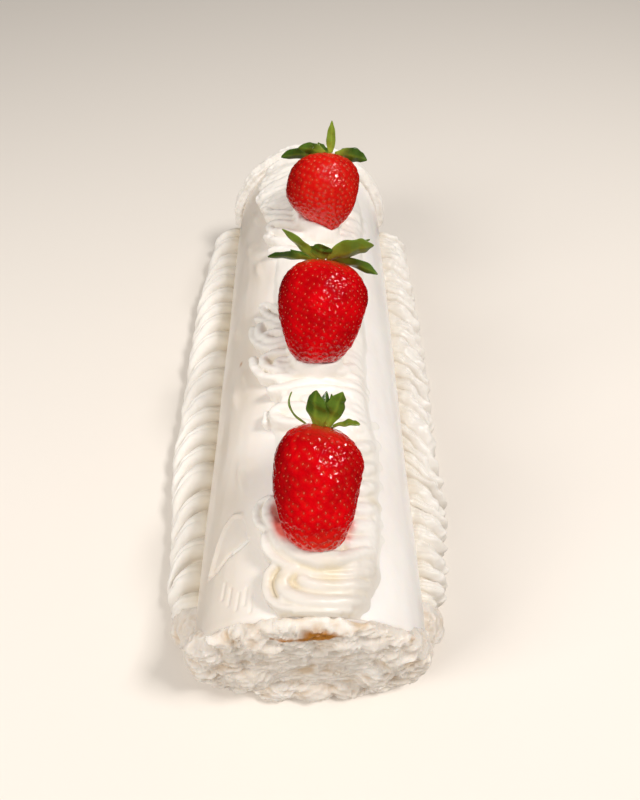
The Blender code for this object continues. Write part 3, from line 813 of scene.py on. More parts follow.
RIDGES = (
    (((-9.3, -121.3), (-12.1, -122.9), (-13.3, -126.5), (-13.2, -130.3), (-11.9, -133.8),
      (-8.3, -136.2), (-2.3, -137.5), (5.1, -137.7), (12.8, -136.7)), (1.7, 1.5), (6.2, 4.2)),
    (((-4, -123.7), (-6.9, -125.1), (-8.4, -127.9), (-7.5, -130.7), (-4.9, -133.2), (-0.5, -134.6),
      (6.4, -134.8), (12.5, -134.1), (17.9, -132.5)), (2.5, 2.4), (7.2, 5.2)),
    (((-1.7, -127.5), (-0.5, -129.1), (3.6, -129.6), (11.1, -128.9), (19.8, -126.8)), (2.2, 2.2),
      (6.8, 5.2)),
    (((-13.1, -111.2), (-13.1, -115.3), (-11.2, -118.8), (-7.6, -121.8), (-3.8, -124.1),
      (0.6, -125.6), (6.6, -125.6), (13.4, -124.7), (20.8, -121.9)), (1.9, 2.1), (8, 5.2)),
    (((-10.2, -110.6), (-9, -115.1), (-6.6, -118.6), (-3.2, -121.2), (1.2, -122.6), (8.1, -122.8),
      (14.4, -121.4), (22.3, -118.5)), (2.1, 2.2), (8.6, 5.4)),
    (((-8.3, -111.1), (-6.7, -115.2), (-4.1, -118.8), (-0.7, -120.9), (3.3, -122.1)), (2, 2.5),
      (9, 10)),
    (((3.3, -122.1), (7.6, -121.7), (11.7, -119.2), (16.5, -116.7), (22.3, -113.9)), (2.5, 2.2),
      (10, 5.4)),
    (((4.2, -36.3), (-3.5, -35.6), (-9.5, -31.5)), (2.9, 2.2), (8.8, 6)),
    (((4.2, -36.3), (11.4, -33.8), (18.5, -28)), (2.9, 2.4), (8.8, 5.4)),
    (((5.1, 58.3), (-1.8, 62.5), (-7.5, 69)), (3.4, 2.4), (8, 5.4)),
    (((5.1, 58.3), (13.2, 59.8), (20.5, 66)), (3.4, 2.6), (8, 5.2)),
    (((-12.6, -95.6), (-15.5, -96.1), (-17, -99), (-17.1, -102.7), (-15.5, -106), (-13.1, -108.3),
      (-10.2, -109.8)), (1.7, 1.7), (6.6, 7.6)),
    (((-11.1, -97.8), (-13.2, -99.5), (-12.9, -102.9), (-11.2, -106.2), (-8.9, -109.5),
      (-6.7, -113.7)), (1.9, 2.1), (8, 9.4)),
    (((13.5, -113.6), (19.5, -111.3), (28, -106.5)), (2.8, 2.6), (6.6, 3.6)),
    (((15.1, -106.7), (20.5, -104.6), (27.6, -100.1)), (2.8, 2.6), (6.6, 3.8)),
    (((16.8, -99.3), (21.7, -97.1), (27.4, -92.9)), (2.8, 2.6), (6.4, 3.8)),
    (((18.8, -90), (23.3, -86.3), (29.2, -82.4)), (2.9, 2.6), (6, 3.6)),
    (((20.2, -80.3), (25, -76.2), (29.7, -72.5)), (2.9, 2.6), (5.6, 3.4)),
    (((20.1, -70.3), (24.9, -66), (30.2, -61.7)), (2.9, 2.6), (5.4, 3.4)),
    (((19.1, -60.4), (23.9, -56.3), (30.2, -51.6)), (2.9, 2.6), (5.4, 3.2)),
    (((-2.1, -54.2), (-8.2, -53.2), (-12.6, -53.5), (-13.3, -56.4), (-11, -59.7), (-6.3, -62.3),
      (-1, -62.8)), (2.3, 2.3), (6.6, 6.6)),
    (((-16.5, -53.8), (-16.9, -57.7)), (1.7, 1.7), (4.4, 4.2)),
    (((-14, -43), (-10.4, -42.9), (-6, -42.1), (-0.8, -40.7), (5.3, -39.5), (13.1, -38.5),
      (19.8, -38.2), (25.5, -38.9)), (2.5, 2.6), (6.8, 4.2)),
    (((-5.9, -46.5), (-0.8, -45.1), (5.2, -43.9), (13, -42.9), (18.7, -43.6), (23, -45.5)),
      (2.4, 2.6), (6.2, 4)),
    (((-0.8, -49.8), (5.2, -48.7), (12.1, -48), (17.8, -48.9), (21.1, -51.8)), (2.6, 2.8),
      (5.6, 3.8)),
    (((-23, -21.1), (-22.4, -26.3), (-19.2, -32.4), (-14.3, -36), (-8.5, -36.1), (-2.4, -35.8),
      (5.4, -34.8), (14.1, -33.5), (21.7, -33.1), (26.5, -34.8)), (1.9, 2.2), (6.4, 4.4)),
    (((-6, -24.3), (-12.3, -22.6), (-17.2, -21.7), (-18.9, -24.1), (-16.3, -29.6), (-10.8, -32.9),
      (-3.1, -33.2), (6.5, -32), (15.8, -28.9), (23.6, -27.7)), (2, 2.2), (7.4, 4.8)),
    (((-6, -29), (-11.3, -26.8), (-13.3, -28.2), (-10.5, -31), (-5.2, -31.7)), (1.6, 1.8),
      (7.4, 7)),
    (((-20.1, -32.8), (-18.4, -34.2)), (1.4, 1.4), (3.4, 3.2)),
    (((-24.3, -0.7), (-24.3, -5.3), (-22.1, -11.3), (-17.4, -17.3), (-13.2, -19.1), (-8.5, -18.6)),
      (1.9, 1.9), (6.2, 7.2)),
    (((-20.6, -1.7), (-21.2, -4.7), (-19.1, -10.4), (-13.9, -15.7), (-8.3, -15.7)), (1.9, 2),
      (7, 8)),
    (((-16.8, -9.2), (-14.1, -9.1), (-10, -11.3)), (1.7, 1.9), (7.2, 8)),
    (((-21.4, 13.9), (-19.8, 7.9), (-15.3, 1.5), (-9.9, -5)), (1.7, 2), (5.2, 7.4)),
    (((-23.5, 6.7), (-18.5, 0.6), (-9.8, -8.9)), (1.7, 2), (5, 7.4)),
    (((-18.9, 13.8), (-14.6, 8.2), (-9.9, 2.3)), (1.8, 2), (4.6, 6.6)),
    (((-18.3, 69.6), (-20.5, 76.2), (-17.4, 76.7), (-11.9, 73.2), (-5.7, 68.5)), (2.1, 2.2),
      (6.4, 6.8)),
    (((-15.9, 69.5), (-10.4, 64.9), (-3.8, 60.8)), (2, 2.2), (6.2, 6.4)),
    (((-21.2, 68.8), (-17.3, 62.4), (-11.3, 59.1), (-3.8, 54.6)), (2, 2.4), (5.6, 6)),
    (((-18.3, 55.2), (-11.7, 52), (-3.7, 47.9)), (2.6, 2.8), (5.2, 6)),
    (((-23.9, 97.1), (-20.2, 89.3), (-13.8, 84.1), (-6.8, 80)), (1.9, 2.2), (5.8, 6.6)),
    (((-21.4, 86.3), (-16.9, 82.5), (-10.7, 77.8), (-3.9, 72.2)), (1.8, 2.2), (5.6, 6.4)),
    (((20.3, 79.4), (27.6, 85.8), (34.7, 92.3)), (2.8, 2.6), (6.2, 4)),
    (((21.7, 89.4), (28.2, 96.3), (34.8, 103.4)), (2.8, 2.6), (6.2, 4)),
    (((17.5, 67.9), (24.9, 72.1), (31.4, 75.6)), (2.8, 2.6), (6, 3.8)),
)
print(len(MOUNDS), "mounds and", len(RIDGES), "ridges")

# %% [markdown]
# Under the strokes lies a low bed of smeared cream that thins out to the right. A loop lays the
# last curls behind the back berry, each of them three nested ridges, because they are alike enough
# to need no lines of their own. Every height sinks towards the smeared right edge.

# %% Heights of the zigzag
# the cream's left and right edges: places along the roll, and how far across it they are
CREAM_LEFT = mm(
    (-140, -11), (-129, -12.5), (-116.5, -11.5), (-105, -14), (-85, -15), (-60, -16.5),
    (-45, -13.5), (-30, -18), (-10, -21), (15, -20.5), (55, -20), (80, -21.5), (100, -25),
    (120, -26), (140, -21.5))
CREAM_RIGHT = mm(
    (-140, 20), (-134, 23.5), (-120, 28.5), (-100, 31), (-70, 32), (-40, 29), (0, 30.5), (30, 31),
    (60, 33), (100, 35), (140, 29))
CREAM_FRONT = -0.1385
CREAM_BACK = 0.1400
CREAM_BED = 0.0042
CREAM_FADE = 0.0110
CREAM_RUN_OUT = 0.0075
SMEAR_FROM = 0.0170
SMEAR_REACH = 0.0090
SMEAR_BLUR = 22
CURLS = mm((99, 25), (111, 27.5), (122.5, 27), (132, 23.5))
CURL_RINGS = ((1.0, 0.0062), (0.58, 0.0072), (0.16, 0.0072))
CURL_LENGTH = 0.030
# places along the roll, how wide the bed's left edge slopes there, and how thick the bed is
BED = (
    (-0.14, 0.004, 1), (-0.098, 0.004, 1), (-0.09, 0.012, 0.55), (-0.066, 0.012, 0.55),
    (-0.058, 0.004, 1), (0.004, 0.004, 1), (0.014, 0.013, 0.6), (0.048, 0.013, 0.6),
    (0.058, 0.005, 1), (0.14, 0.005, 1))


def smear(x, y):
    """How much of its height a ridge keeps at a place: it sinks where the cream was smeared."""
    right = between(CREAM_RIGHT, np.ravel(y)).reshape(np.shape(y))
    return 0.10 + 0.90 * eased(part_of(right - x, CREAM_FADE))


def cream_bed(x, y):
    """Height of the smeared cream under the ridges, below zero where there is none."""
    edge = y[:, None] * np.array([1.0, 0.0, 0.0])
    left = (between(CREAM_LEFT, y) + 0.0014 * waver(edge, 0.0085, 2))[:, None]
    right = (between(CREAM_RIGHT, y) + 0.0016 * waver(edge, 0.0120, 3))[:, None]
    slope = between([row[:2] for row in BED], y)[:, None]
    thick = CREAM_BED * between([row[::2] for row in BED], y)[:, None]
    kept = eased(part_of(x[None, :] - left, slope)) * eased(part_of(right - x[None, :], CREAM_FADE))
    from_end = part_of(np.minimum(y - CREAM_FRONT, CREAM_BACK - y), 0.0040)[:, None]
    kept = kept * np.sqrt(1 - (1 - from_end) ** 2)
    places = np.stack([*np.meshgrid(x, y), np.zeros((len(y), len(x)))], axis=-1)
    uneven = 1 + 0.30 * waver(places * np.array([0.45, 1.0, 1.0]), 0.0075, 4)
    uneven += 0.14 * waver(places * np.array([0.35, 1.0, 1.0]), 0.0030, 5)
    return thick * kept * uneven - 0.0010 * (1 - np.clip(kept * 3, 0.0, 1.0))


def lay_curls(field, x, y):
    """Nested ridges that turn back on the left, one bundle for each curl near the back."""
    draw = random.Random(6)
    turn = np.linspace(math.pi / 2, 3 * math.pi / 2, 9)
    for place, left in CURLS:
        half = draw.uniform(0.0048, 0.0058)
        for share, crest in CURL_RINGS:
            ring = half * share
            middle = -left + half + draw.uniform(-0.0006, 0.0006)
            end = middle + CURL_LENGTH
            line = [(end, place + ring + 0.0030),
                    *((middle + ring * math.cos(a), place + ring * math.sin(a)) for a in turn),
                    (end, place - ring + 0.0030)]
            crests = (crest * draw.uniform(0.85, 1.05), crest * 0.8)
            raise_ridge(field, x, y, soft_line(line, 0.0006, 10), (0.0018, 0.0022), crests, False)


def cream_field(x, y):
    """Heights of the cream over the roll: the bed, the curls, the mounds, then the ridges."""
    field = cream_bed(x, y)
    lay_curls(field, x, y)
    for rows, mound in ((MOUNDS, True), (RIDGES, False)):
        for line, halves, crests in rows:
            raise_ridge(field, x, y, soft_line(mm(*line)), *mm(halves, crests), mound)
    smeared = 0.42 * part_of(x - SMEAR_FROM, SMEAR_REACH)[None, :]
    field = field + (blurred(field, SMEAR_BLUR) - field) * smeared
    right = between(CREAM_RIGHT, y)[:, None] + 0.0010
    run_out = part_of(right - x[None, :], CREAM_RUN_OUT)
    return np.where(field > 0.0, field * eased(run_out) - 0.0002 * (1 - run_out), field)


print("cream reaches from", CREAM_FRONT, "to", CREAM_BACK)

# %% [markdown]
# The relief is laid over the roll along the roll's own outward directions. It swells up where a
# berry leans close over it, as soft cream does, and a fine noise roughens its thick parts. Marks
# say where it has painted shade, yellowish in its hollows and greyer in front, where it has yellow
# spots and where it is pink. A plain underside, sunk in the icing, closes it.

# %% The piped zigzag
CREAM_SIDES = (-0.0300, 0.0365)
CREAM_COLUMNS = 165
CREAM_ROWS = (250, 300)
CREAM_FINE = -0.0180
CREAM_SUNK = 0.0030
UNDER_COLUMNS = 14
FILL_REACH = 0.0095
FILL_STEP = 0.0004
HOLLOW_BLUR = 24
HOLLOW_DEPTH = 0.0010
# the middle and the reach of each yellow spot
YELLOW_SPOTS = mm(
    (-5, -127.5, 2.2), (-10.7, -127, 3), (8, -126.2, 4), (26.2, -92.5, 2.8), (-17, -27, 2.5))
JUICE_REACH = 0.0034
JUICE_MIDDLE = -0.1050
JUICE_LENGTH = 0.0090


def filled_in(places, outward):
    """Heights to add to the cream so that it meets the berries that lean close over it."""
    added = np.zeros(places.shape[:2])
    for shape in BERRIES.values():
        lift = np.zeros(added.shape)
        for rise in np.arange(FILL_REACH, 0.0, -FILL_STEP):
            touched = berry_gap(shape, places + outward * rise) < 0.0
            lift = np.where(touched, rise, lift)
        added = np.maximum(added, lift * part_of(FILL_REACH - lift, 0.4 * FILL_REACH))
    return blurred(added, 5)


def cream_marks(field, places):
    """Painted shade, yellow in the hollows and grey in front, yellow spots, and pink by the front
    berry.
    """
    x, y = places[..., 0], places[..., 1]
    # painted shade: hollows of the relief turn a darker yellow, more so in front, and so does the
    # front strip
    hollow = part_of(blurred(field, HOLLOW_BLUR) - field, HOLLOW_DEPTH) * (field > 0.0006)
    front_half = part_of(-0.085 - y, 0.030)
    in_front = part_of(-0.114 - y, 0.008)
    painted_shade_and_yellow = hollow * (0.26 + 0.26 * front_half + 0.26 * waver(places, 0.012, 3)) + 0.14 * in_front
    for spot_x, spot_y, reach in YELLOW_SPOTS:
        painted_shade_and_yellow += 0.55 * np.exp(-((x - spot_x) ** 2 + (y - spot_y) ** 2) / reach ** 2)
    gap = np.maximum(berry_gap(BERRIES["front"], places), 0.0)
    aside = np.abs(x - BERRIES["front"]["centre"][0] + 0.0015)
    juice = 2.3 * np.exp(-(gap / JUICE_REACH) ** 2) * part_of(aside - 0.0065, 0.003)
    juice *= np.exp(-((y - JUICE_MIDDLE) / JUICE_LENGTH) ** 4)
    # thin is painted shade that greys the front strip of the cream
    return {"painted_shade_and_yellow": np.clip(painted_shade_and_yellow, 0.0, 0.85), "juice": np.clip(juice, 0.0, 0.92),
            "thin": 0.95 * in_front}


def build_zigzag():
    """The relief laid over the roll, closed by a plain underside that is sunk in the icing."""
    x = np.linspace(*CREAM_SIDES, CREAM_COLUMNS)
    rear, front = CREAM_ROWS
    y = np.concatenate([np.linspace(CREAM_BACK, CREAM_FINE, rear),
                        np.linspace(CREAM_FINE, CREAM_FRONT, front)[1:]])
    field = blurred(cream_field(x, y), 1)
    surface = np.stack([*np.meshgrid(x, y), np.zeros(field.shape)], axis=-1)
    surface[..., 2] = roll_top(surface[..., 0])
    outward = roll_outward(surface)
    shown = part_of(field, 0.002)
    rough = 0.00022 * waver(surface, 0.0040, 6) + 0.00010 * waver(surface, 0.0016, 7)
    field = field + shown * rough
    field = field + filled_in(surface + outward * field[..., None], outward)
    thick = part_of(field, 0.0050) ** 2
    field = field + thick * 0.00050 * waver(surface * np.array([0.18, 1.0, 1.0]), 0.0024, 8)
    places = surface + outward * field[..., None]
    marks = cream_marks(field, places)
    across = np.linspace(1.0, 0.0, UNDER_COLUMNS)[None, :, None]
    under = places[:, :1] + (places[:, -1:] - places[:, :1]) * across
    under[..., 2] = roll_top(under[..., 0]) - CREAM_SUNK
    places = np.concatenate([places, under, places[:, :1]], axis=1)
    for mark, values in marks.items():
        bare = np.zeros((len(values), UNDER_COLUMNS + 1))
        marks[mark] = np.concatenate([values, bare], axis=1)
    finish_cream(close(sheet("piped_zigzag", places, marks)), "top_ruffle")


build_zigzag()

# %% [markdown]
# The ends are cream spread roughly over the cut, with dabs pushed round the foot in front and a
# piped rim along the upper edge at the back. Sculpting could make them, but lumps like these fuse
# well by a voxel remesh: rough pieces are joined, remade as one skin and smoothed.

# %% Rough pieces for the ends
# rings of the slab over an end: their size as a share of the roll's outline, and their depth
SLAB_RINGS = ((1.0, -0.0010), (0.995, 0.0008), (0.97, 0.0026), (0.86, 0.0034), (0.60, 0.0036),
              (0.25, 0.0038))
SLAB_COLUMNS = 60
SLAB_MIDDLE = 0.030


def lump(place, size, turn=0.0):
    """An uneven ball of cream."""
    deselect()
    bpy.ops.mesh.primitive_uv_sphere_add(
        segments=24, ring_count=14, radius=1.0, scale=size,
        location=Vector(place) + Vector(OFFSET), rotation=(0, 0, turn))
    bpy.ops.object.transform_apply(location=True, rotation=True, scale=True)
    return bpy.context.object


def end_slab(way, plane):
    """The cream over an end: the roll's outline, swelling outwards towards its foot."""
    foot = math.asin(ROLL_WIDEST / ROLL_SAG)
    across, height = oval_section(np.linspace(-foot, math.pi + foot, SLAB_COLUMNS))
    places = np.zeros((len(SLAB_RINGS), SLAB_COLUMNS + 1, 3))
    for row, (scale, depth) in enumerate(SLAB_RINGS):
        z = SLAB_MIDDLE + (height - SLAB_MIDDLE) * scale
        z = np.where(height < 0.0005, 0.0, z)
        lean = 1.0 + 1.1 * np.clip(1 - z / 0.08, 0.0, 1.0) ** 1.2
        ring = np.stack([across * scale, plane + way * depth * lean, z], axis=-1)
        places[row] = np.concatenate([ring, ring[:1]])
    return close(sheet("end_slab", places))


def apply_all(item):
    """Applies every modifier of a piece, first to last."""
    choose(item)
    for step in [modifier.name for modifier in item.modifiers]:
        bpy.ops.object.modifier_apply(modifier=step)


def join(items, name):
    """One object from several, named anew."""
    deselect()
    for item in items:
        item.select_set(True)
    bpy.context.view_layer.objects.active = items[0]
    bpy.ops.object.join()
    items[0].name = name
    return items[0]


def fuse(items, name, voxel, smooth):
    """One closed skin round all the items."""
    item = join(items, name)
    remesh = item.modifiers.new("remesh", "REMESH")
    remesh.mode = "VOXEL"
    remesh.voxel_size = voxel
    soften = item.modifiers.new("soften", "SMOOTH")
    soften.factor = 0.5
    soften.iterations = smooth
    apply_all(item)
    return item


def pushed_out(item, places, push):
    """Moves a skin's points along its normals, but none of them into the table."""
    places = places + point_rows(item, "normal") * push[:, None]
    places[:, 2] = np.maximum(places[:, 2], 0.0)
    put_spots(item, places)
    return places


print("ends close the roll at", ROLL_FRONT, "and", ROLL_BACK)

# %% [markdown]
# The front end shows large dabs round its foot and small ones along its upper edge, with a strip
# of browned sponge under them. Noise with sharp valleys, bent into swirls, roughens the fused
# skin like cream pulled by a knife, and the hollows it leaves get a darker yellow painted shade.

# %% The front end
# each dab in mm: its middle's x, y and z, then its size across, along and up
FRONT_DABS = (
    (-54, -119, 6, 8.5, 10.5, 11.5), (52, -119, 6, 8, 10.5, 11.5),
    (-47.5, -121.5, 10, 13.5, 11, 13.5), (-43, -129, 11, 12.5, 10.5, 15),
    (-30, -137, 8, 12, 10, 12.5), (-15, -141.5, 7, 12, 9.2, 10.5), (1, -142.5, 7, 12.5, 8.5, 9.5),
    (17, -141, 7, 12, 9, 10), (30, -138, 8, 11.5, 10, 12.5), (41, -130.5, 11, 11.5, 10.5, 15),
    (46.5, -122, 11, 11.5, 11, 14), (-35, -139.5, 41, 12, 6.8, 16), (-41, -136, 27, 10.5, 11, 14),
    (-25, -142.5, 24, 11, 6.8, 14), (35, -139.5, 41, 11, 7, 17), (40.5, -135.5, 26, 9.5, 10, 14),
    (27, -142.5, 24, 9.5, 6.5, 14), (-19, -143, 70, 3.8, 3.2, 6), (-16, -143.5, 63, 6.2, 3.4, 3.2),
    (14, -143, 64, 6, 2.6, 3), (23, -142, 62, 5, 3, 6),
)
EDGE_DABS = 26
FRONT_VOXEL = 0.0009
CRUST_LINE = 0.0715


def front_parts():
    """The slab over the end, the dabs on it, and small ones along its upper edge."""
    parts = [end_slab(-1, ROLL_FRONT)]
    draw = random.Random(8)
    for x, y, z, wide, deep, tall in mm(*FRONT_DABS):
        parts.append(lump((x, y, z), (wide, deep, tall), math.atan2(x, 0.105) * 0.9))
    for number in range(EDGE_DABS):
        angle = math.radians(12 + 156 * number / (EDGE_DABS - 1))
        shrink = draw.uniform(0.93, 0.975)
        place = (ROLL_HALF_WIDTH * math.cos(angle) * shrink,
                 ROLL_FRONT - draw.uniform(0.0008, 0.0022),
                 ROLL_WIDEST + ROLL_RISE * math.sin(angle) * shrink)
        parts.append(lump(place, [draw.uniform(low, high) for low, high in
                                  mm((3.5, 6.5), (1.8, 2.8), (1.6, 3.0))]))
    return parts


def swirled(places, size, seed):
    """Noise with sharp valleys, bent by a slower noise so that it runs in swirls."""
    bend = np.stack([waver(places, 0.011, seed + k) for k in (1, 2, 3)], axis=-1)
    return 1 - 2.6 * np.abs(waver(places + 0.0045 * bend, size, seed))


def front_marks(places, hollow):
    """Brown crust under the upper edge, and a yellowish painted shade in the hollows between the
    dabs.
    """
    x, y, z = places.T
    on_face = y < ROLL_FRONT - 0.0002
    middle = CRUST_LINE + 0.0009 * np.sin(x / 0.005)
    thin = np.exp(-((z - middle) / 0.0011) ** 2) * (np.abs(x + 0.0065) < 0.0065)
    tall = np.clip(0.0038 - 0.00024 * (x * 1000 - 3.0), 0.0010, 0.0046)
    wedge = np.exp(-(np.abs(x - 0.0045) / 0.0068) ** 4 - (np.abs(z - middle - 0.0016) / tall) ** 4)
    crust = (thin + 1.25 * wedge) * on_face * (0.95 + 0.5 * waver(places, 0.0020, 8))
    # painted shade: the hollows of the face turn a darker yellow, in patches
    patches = np.clip(0.55 + 1.2 * waver(places, 0.012, 12), 0.1, 1.0)
    painted_shade_and_yellow = hollow * patches * (y < -0.120)
    return {"crust": np.clip(crust, 0.0, 0.98), "painted_shade_and_yellow": np.clip(painted_shade_and_yellow, 0.0, 0.75)}


def build_front():
    """The rough front end, calmer in the middle of its face."""
    front = fuse(front_parts(), "front_rough_cream", FRONT_VOXEL, 3)
    places = point_rows(front, "co") - OFFSET
    coarse = swirled(places, 0.0085, 2)
    fine = swirled(places, 0.0036, 6)
    push = 0.0011 * coarse + 0.0006 * fine + 0.00025 * waver(places, 0.0015, 5) - 0.0006
    x, z = places[:, 0], places[:, 2]
    push *= 1 - 0.45 * np.exp(-(x / 0.028) ** 4 - ((z - 0.036) / 0.022) ** 4)
    push *= np.clip(1.2 - point_rows(front, "normal")[:, 2], 0.3, 1.0)
    places = pushed_out(front, places, push)
    hollow = np.clip(0.55 - 0.6 * coarse - 0.35 * fine, 0.0, 1.0)
    for mark, values in front_marks(places, hollow).items():
        add_mark(front, mark, values)
    finish_cream(front, "front_cream", END_CREAM)


build_front()

# %% [markdown]
# The back end is hidden in the photograph but for the rim along its upper edge, a rope with a
# star-shaped section. Its sections are laid along the roll's outline, each turned a little further
# than the last, and then fused with a plain slab.

# %% The back end
RIM_RADIUS = 0.0058
RIM_RIDGES = 7
RIM_GROOVE = 0.26
RIM_TWIST = 2.4
RIM_ROWS = 170
RIM_COLUMNS = 42
BACK_VOXEL = 0.0010


def rim_rope():
    """A star-shaped rope over the back end's upper edge."""
    angle = np.linspace(0.11, math.pi - 0.11, RIM_ROWS)
    path = np.stack([ROLL_HALF_WIDTH * np.cos(angle), np.full(angle.shape, ROLL_BACK + 0.0030),
                     ROLL_WIDEST + ROLL_RISE * np.sin(angle)], axis=1)
    radius = RIM_RADIUS * (1 + 0.14 * waver(path, 0.006, 5))
    radius *= np.sqrt(np.clip(np.minimum(angle, math.pi - angle) / 0.30, 0.2, 1.0))
    step = np.gradient(path, axis=0)
    step /= np.linalg.norm(step, axis=1, keepdims=True)
    side = np.array([0.0, 1.0, 0.0])
    up = np.cross(side, step)
    round_angle = np.linspace(0.0, 2 * math.pi, RIM_COLUMNS + 1)[None, :]
    twist = np.linspace(0.0, RIM_TWIST, len(path))[:, None]
    wave = 0.5 + 0.5 * np.cos(RIM_RIDGES * (round_angle - twist))
    size = (1 - RIM_GROOVE * (1 - wave ** 0.7)) * radius[:, None]
    aside = (size * np.sin(round_angle))[..., None]
    raised = (size * np.cos(round_angle))[..., None]
    places = path[:, None, :] + side * aside + up[:, None, :] * raised
    return close(sheet("rim_rope", places))


def build_back():
    """The plain back end with its rim."""
    back = fuse([end_slab(1, ROLL_BACK), rim_rope()], "back_rough_cream", BACK_VOXEL, 1)
    places = point_rows(back, "co") - OFFSET
    pushed_out(back, places, 0.0005 * waver(places, 0.0060, 2) + 0.0003 * waver(places, 0.0022, 3))
    finish_cream(back, "back_cream")


build_back()

# %% [markdown]
# Strawberry skin is deep red with a wet gloss, a little more orange on the berry at the back. The
# seeds sit in dimples, and the light that catches the dimple edges makes the sparkle, so the
# dimples are real relief: a fine sphere takes the berry's profile, and each seed presses it in.

# %% Berry materials
# the dark red of the painted shade on each berry's sides
SIDE_SHADE_RED = (0.17, 0.002, 0.003)
SKIN_GRAIN = (90.0, 1900.0, 0.30, 820.0, 0.90)
SKIN_SHINE = {
    "Roughness": 0.08, "Specular IOR Level": 0.15, "Coat Weight": 0.62, "Coat Roughness": 0.03,
    "Subsurface Weight": 0.12, "Subsurface Radius": (1.0, 0.15, 0.08), "Subsurface Scale": 0.002}
# the two reds of each berry, and the paler colour at its top and round its seeds
BERRY_COLOURS = {
    "front": ((0.66, 0.001, 0.004), (0.40, 0.001, 0.003), (0.74, 0.045, 0.018)),
    "middle": ((0.66, 0.001, 0.004), (0.40, 0.001, 0.003), (0.72, 0.026, 0.012)),
    "back": ((0.68, 0.010, 0.006), (0.52, 0.004, 0.004), (0.78, 0.14, 0.05)),
}
SEED = new_finish("seed", ((0.72, 0.15, 0.065), (0.46, 0.012, 0.008)), (),
                  (700.0, 3000.0, 0.2, 900.0, 0.2),
                  {"Roughness": 0.28, "Coat Weight": 0.7, "Coat Roughness": 0.08})
BERRY_SKIN = {
    name: new_finish(f"{name}_berry_skin", (red, deep), (("pale", pale), ("painted_side_shade", SIDE_SHADE_RED)),
                     SKIN_GRAIN, SKIN_SHINE)
    for name, (red, deep, pale) in BERRY_COLOURS.items()}
print("berry finishes", [finish.name for finish in BERRY_SKIN.values()])

# %% [markdown]
# The seeds of a strawberry follow one spiral from the leaves to the tip, each a golden angle on
# from the last. Scattering them at random would leave gaps and pairs, so the spiral is followed
# here too, with a little unevenness.

# %% Seeds on a spiral
SEED_GAP = 0.0028
SEED_STRAY = 0.28
GOLDEN_ANGLE = math.radians(137.508)


def seed_spots(shape, draw):
    """Shares and angles of the seeds, with a little unevenness."""
    found = []
    share = 0.08
    angle = 0.0
    while share < 0.975:
        radius = float(berry_radius(shape, np.array(share)))
        ahead = float(berry_radius(shape, np.array(min(0.99, share + 0.004))))
        slope = math.hypot(shape["length"] * 0.004, ahead - radius) / 0.004
        stray = [draw.uniform(-SEED_STRAY, SEED_STRAY) * SEED_GAP for _ in range(2)]
        found.append((share + stray[0] / slope, angle + stray[1] / max(radius, 0.002)))
        share += SEED_GAP ** 2 / (2 * math.pi * max(radius, 0.0015) * slope)
        angle += GOLDEN_ANGLE
    return np.array(found).T


def search_tree(places):
    """A tree that finds the nearest of the places."""
    tree = kdtree.KDTree(len(places))
    for number, place in enumerate(places):
        tree.insert(place, number)
    tree.balance()
    return tree


for berry_name, berry_shape in BERRIES.items():
    print(berry_name, "berry has", seed_spots(berry_shape, random.Random(len(berry_name))).shape[1],
          "seeds")

# %% [markdown]
# A berry starts as a fine ball whose points move to the berry's own profile. A search tree tells
# each point how far its nearest seed is, and near a seed the skin sinks into a dimple with a soft
# lip. Marks keep the skin pale at the top and by the seeds, and paint shade on its sides.

# %% Dimpled skins
DIMPLE_WIDTH = 0.00085
DIMPLE_DEPTH = 0.00048
LIP_HEIGHT = 0.25


def build_berry(name, shape):
    """A berry's dimpled skin. Returns the places and the normals of its seeds on the cake."""
    deselect()
    bpy.ops.mesh.primitive_uv_sphere_add(segments=208, ring_count=150, radius=1.0)
    berry = bpy.context.object
    berry.name = f"berry_{name}"
    x, y, z = point_rows(berry, "co").T
    share = (1 - np.clip(z, -1, 1)) / 2
    places = berry_place(shape, share, np.arctan2(y, x))
    seed_places = berry_place(shape, *seed_spots(shape, random.Random(len(name))))
    seed_tree = search_tree(seed_places)
    away = np.array([seed_tree.find(place)[2] for place in places])

    put_spots(berry, places - OFFSET)
    normals = point_rows(berry, "normal")
    dimple = np.exp(-(away / DIMPLE_WIDTH) ** 2.4)
    lip = LIP_HEIGHT * np.exp(-((away - 1.7 * DIMPLE_WIDTH) / (0.5 * DIMPLE_WIDTH)) ** 2)
    push = -DIMPLE_DEPTH * (dimple - lip)
    push += shape["lumps"] * waver(places, 0.0085, 3) + 0.00026 * waver(places, 0.0021, 4)
    shaped = places + normals * push[:, None]
    put_spots(berry, to_cake(shape, shaped))
    pale = np.clip(0.30 - share / 0.5, 0.0, 1.0) * 1.6 + 0.25 * dimple
    pale += 0.5 * part_of(share - 0.80, 0.2) * (name == "front")
    add_mark(berry, "pale", np.clip(pale, 0.0, 0.85))
    # painted shade: the skin darkens on its sides, most on the left and least at the tip
    aside = -normals[:, 0] + 0.15 * waver(places, 0.006, 5)
    painted_side_shade = 0.85 * part_of(aside - 0.50, 0.45) + 0.45 * part_of(-aside - 0.65, 0.35)
    add_mark(berry, "painted_side_shade", painted_side_shade * np.clip(1.3 - share, 0.0, 1.0))
    choose(berry)
    bpy.ops.object.shade_smooth()
    finish_piece(berry, f"strawberry_{name}", BERRY_SKIN[name])

    skin_tree = search_tree(places)
    nearest = [skin_tree.find(place)[1] for place in seed_places]
    return to_cake(shape, shaped[nearest]), normals[nearest] @ berry_turn(shape).T

# %% [markdown]
# A seed is a tiny pointed ball, pressed half into its dimple. All of a berry's seeds are one mesh,
# written from one pattern, because a mesh of its own for each would be slow to make and to join.

# %% Seeds
SEED_SIZE = (0.00026, 0.00044, 0.00018)
SEED_LIFT = 0.00012


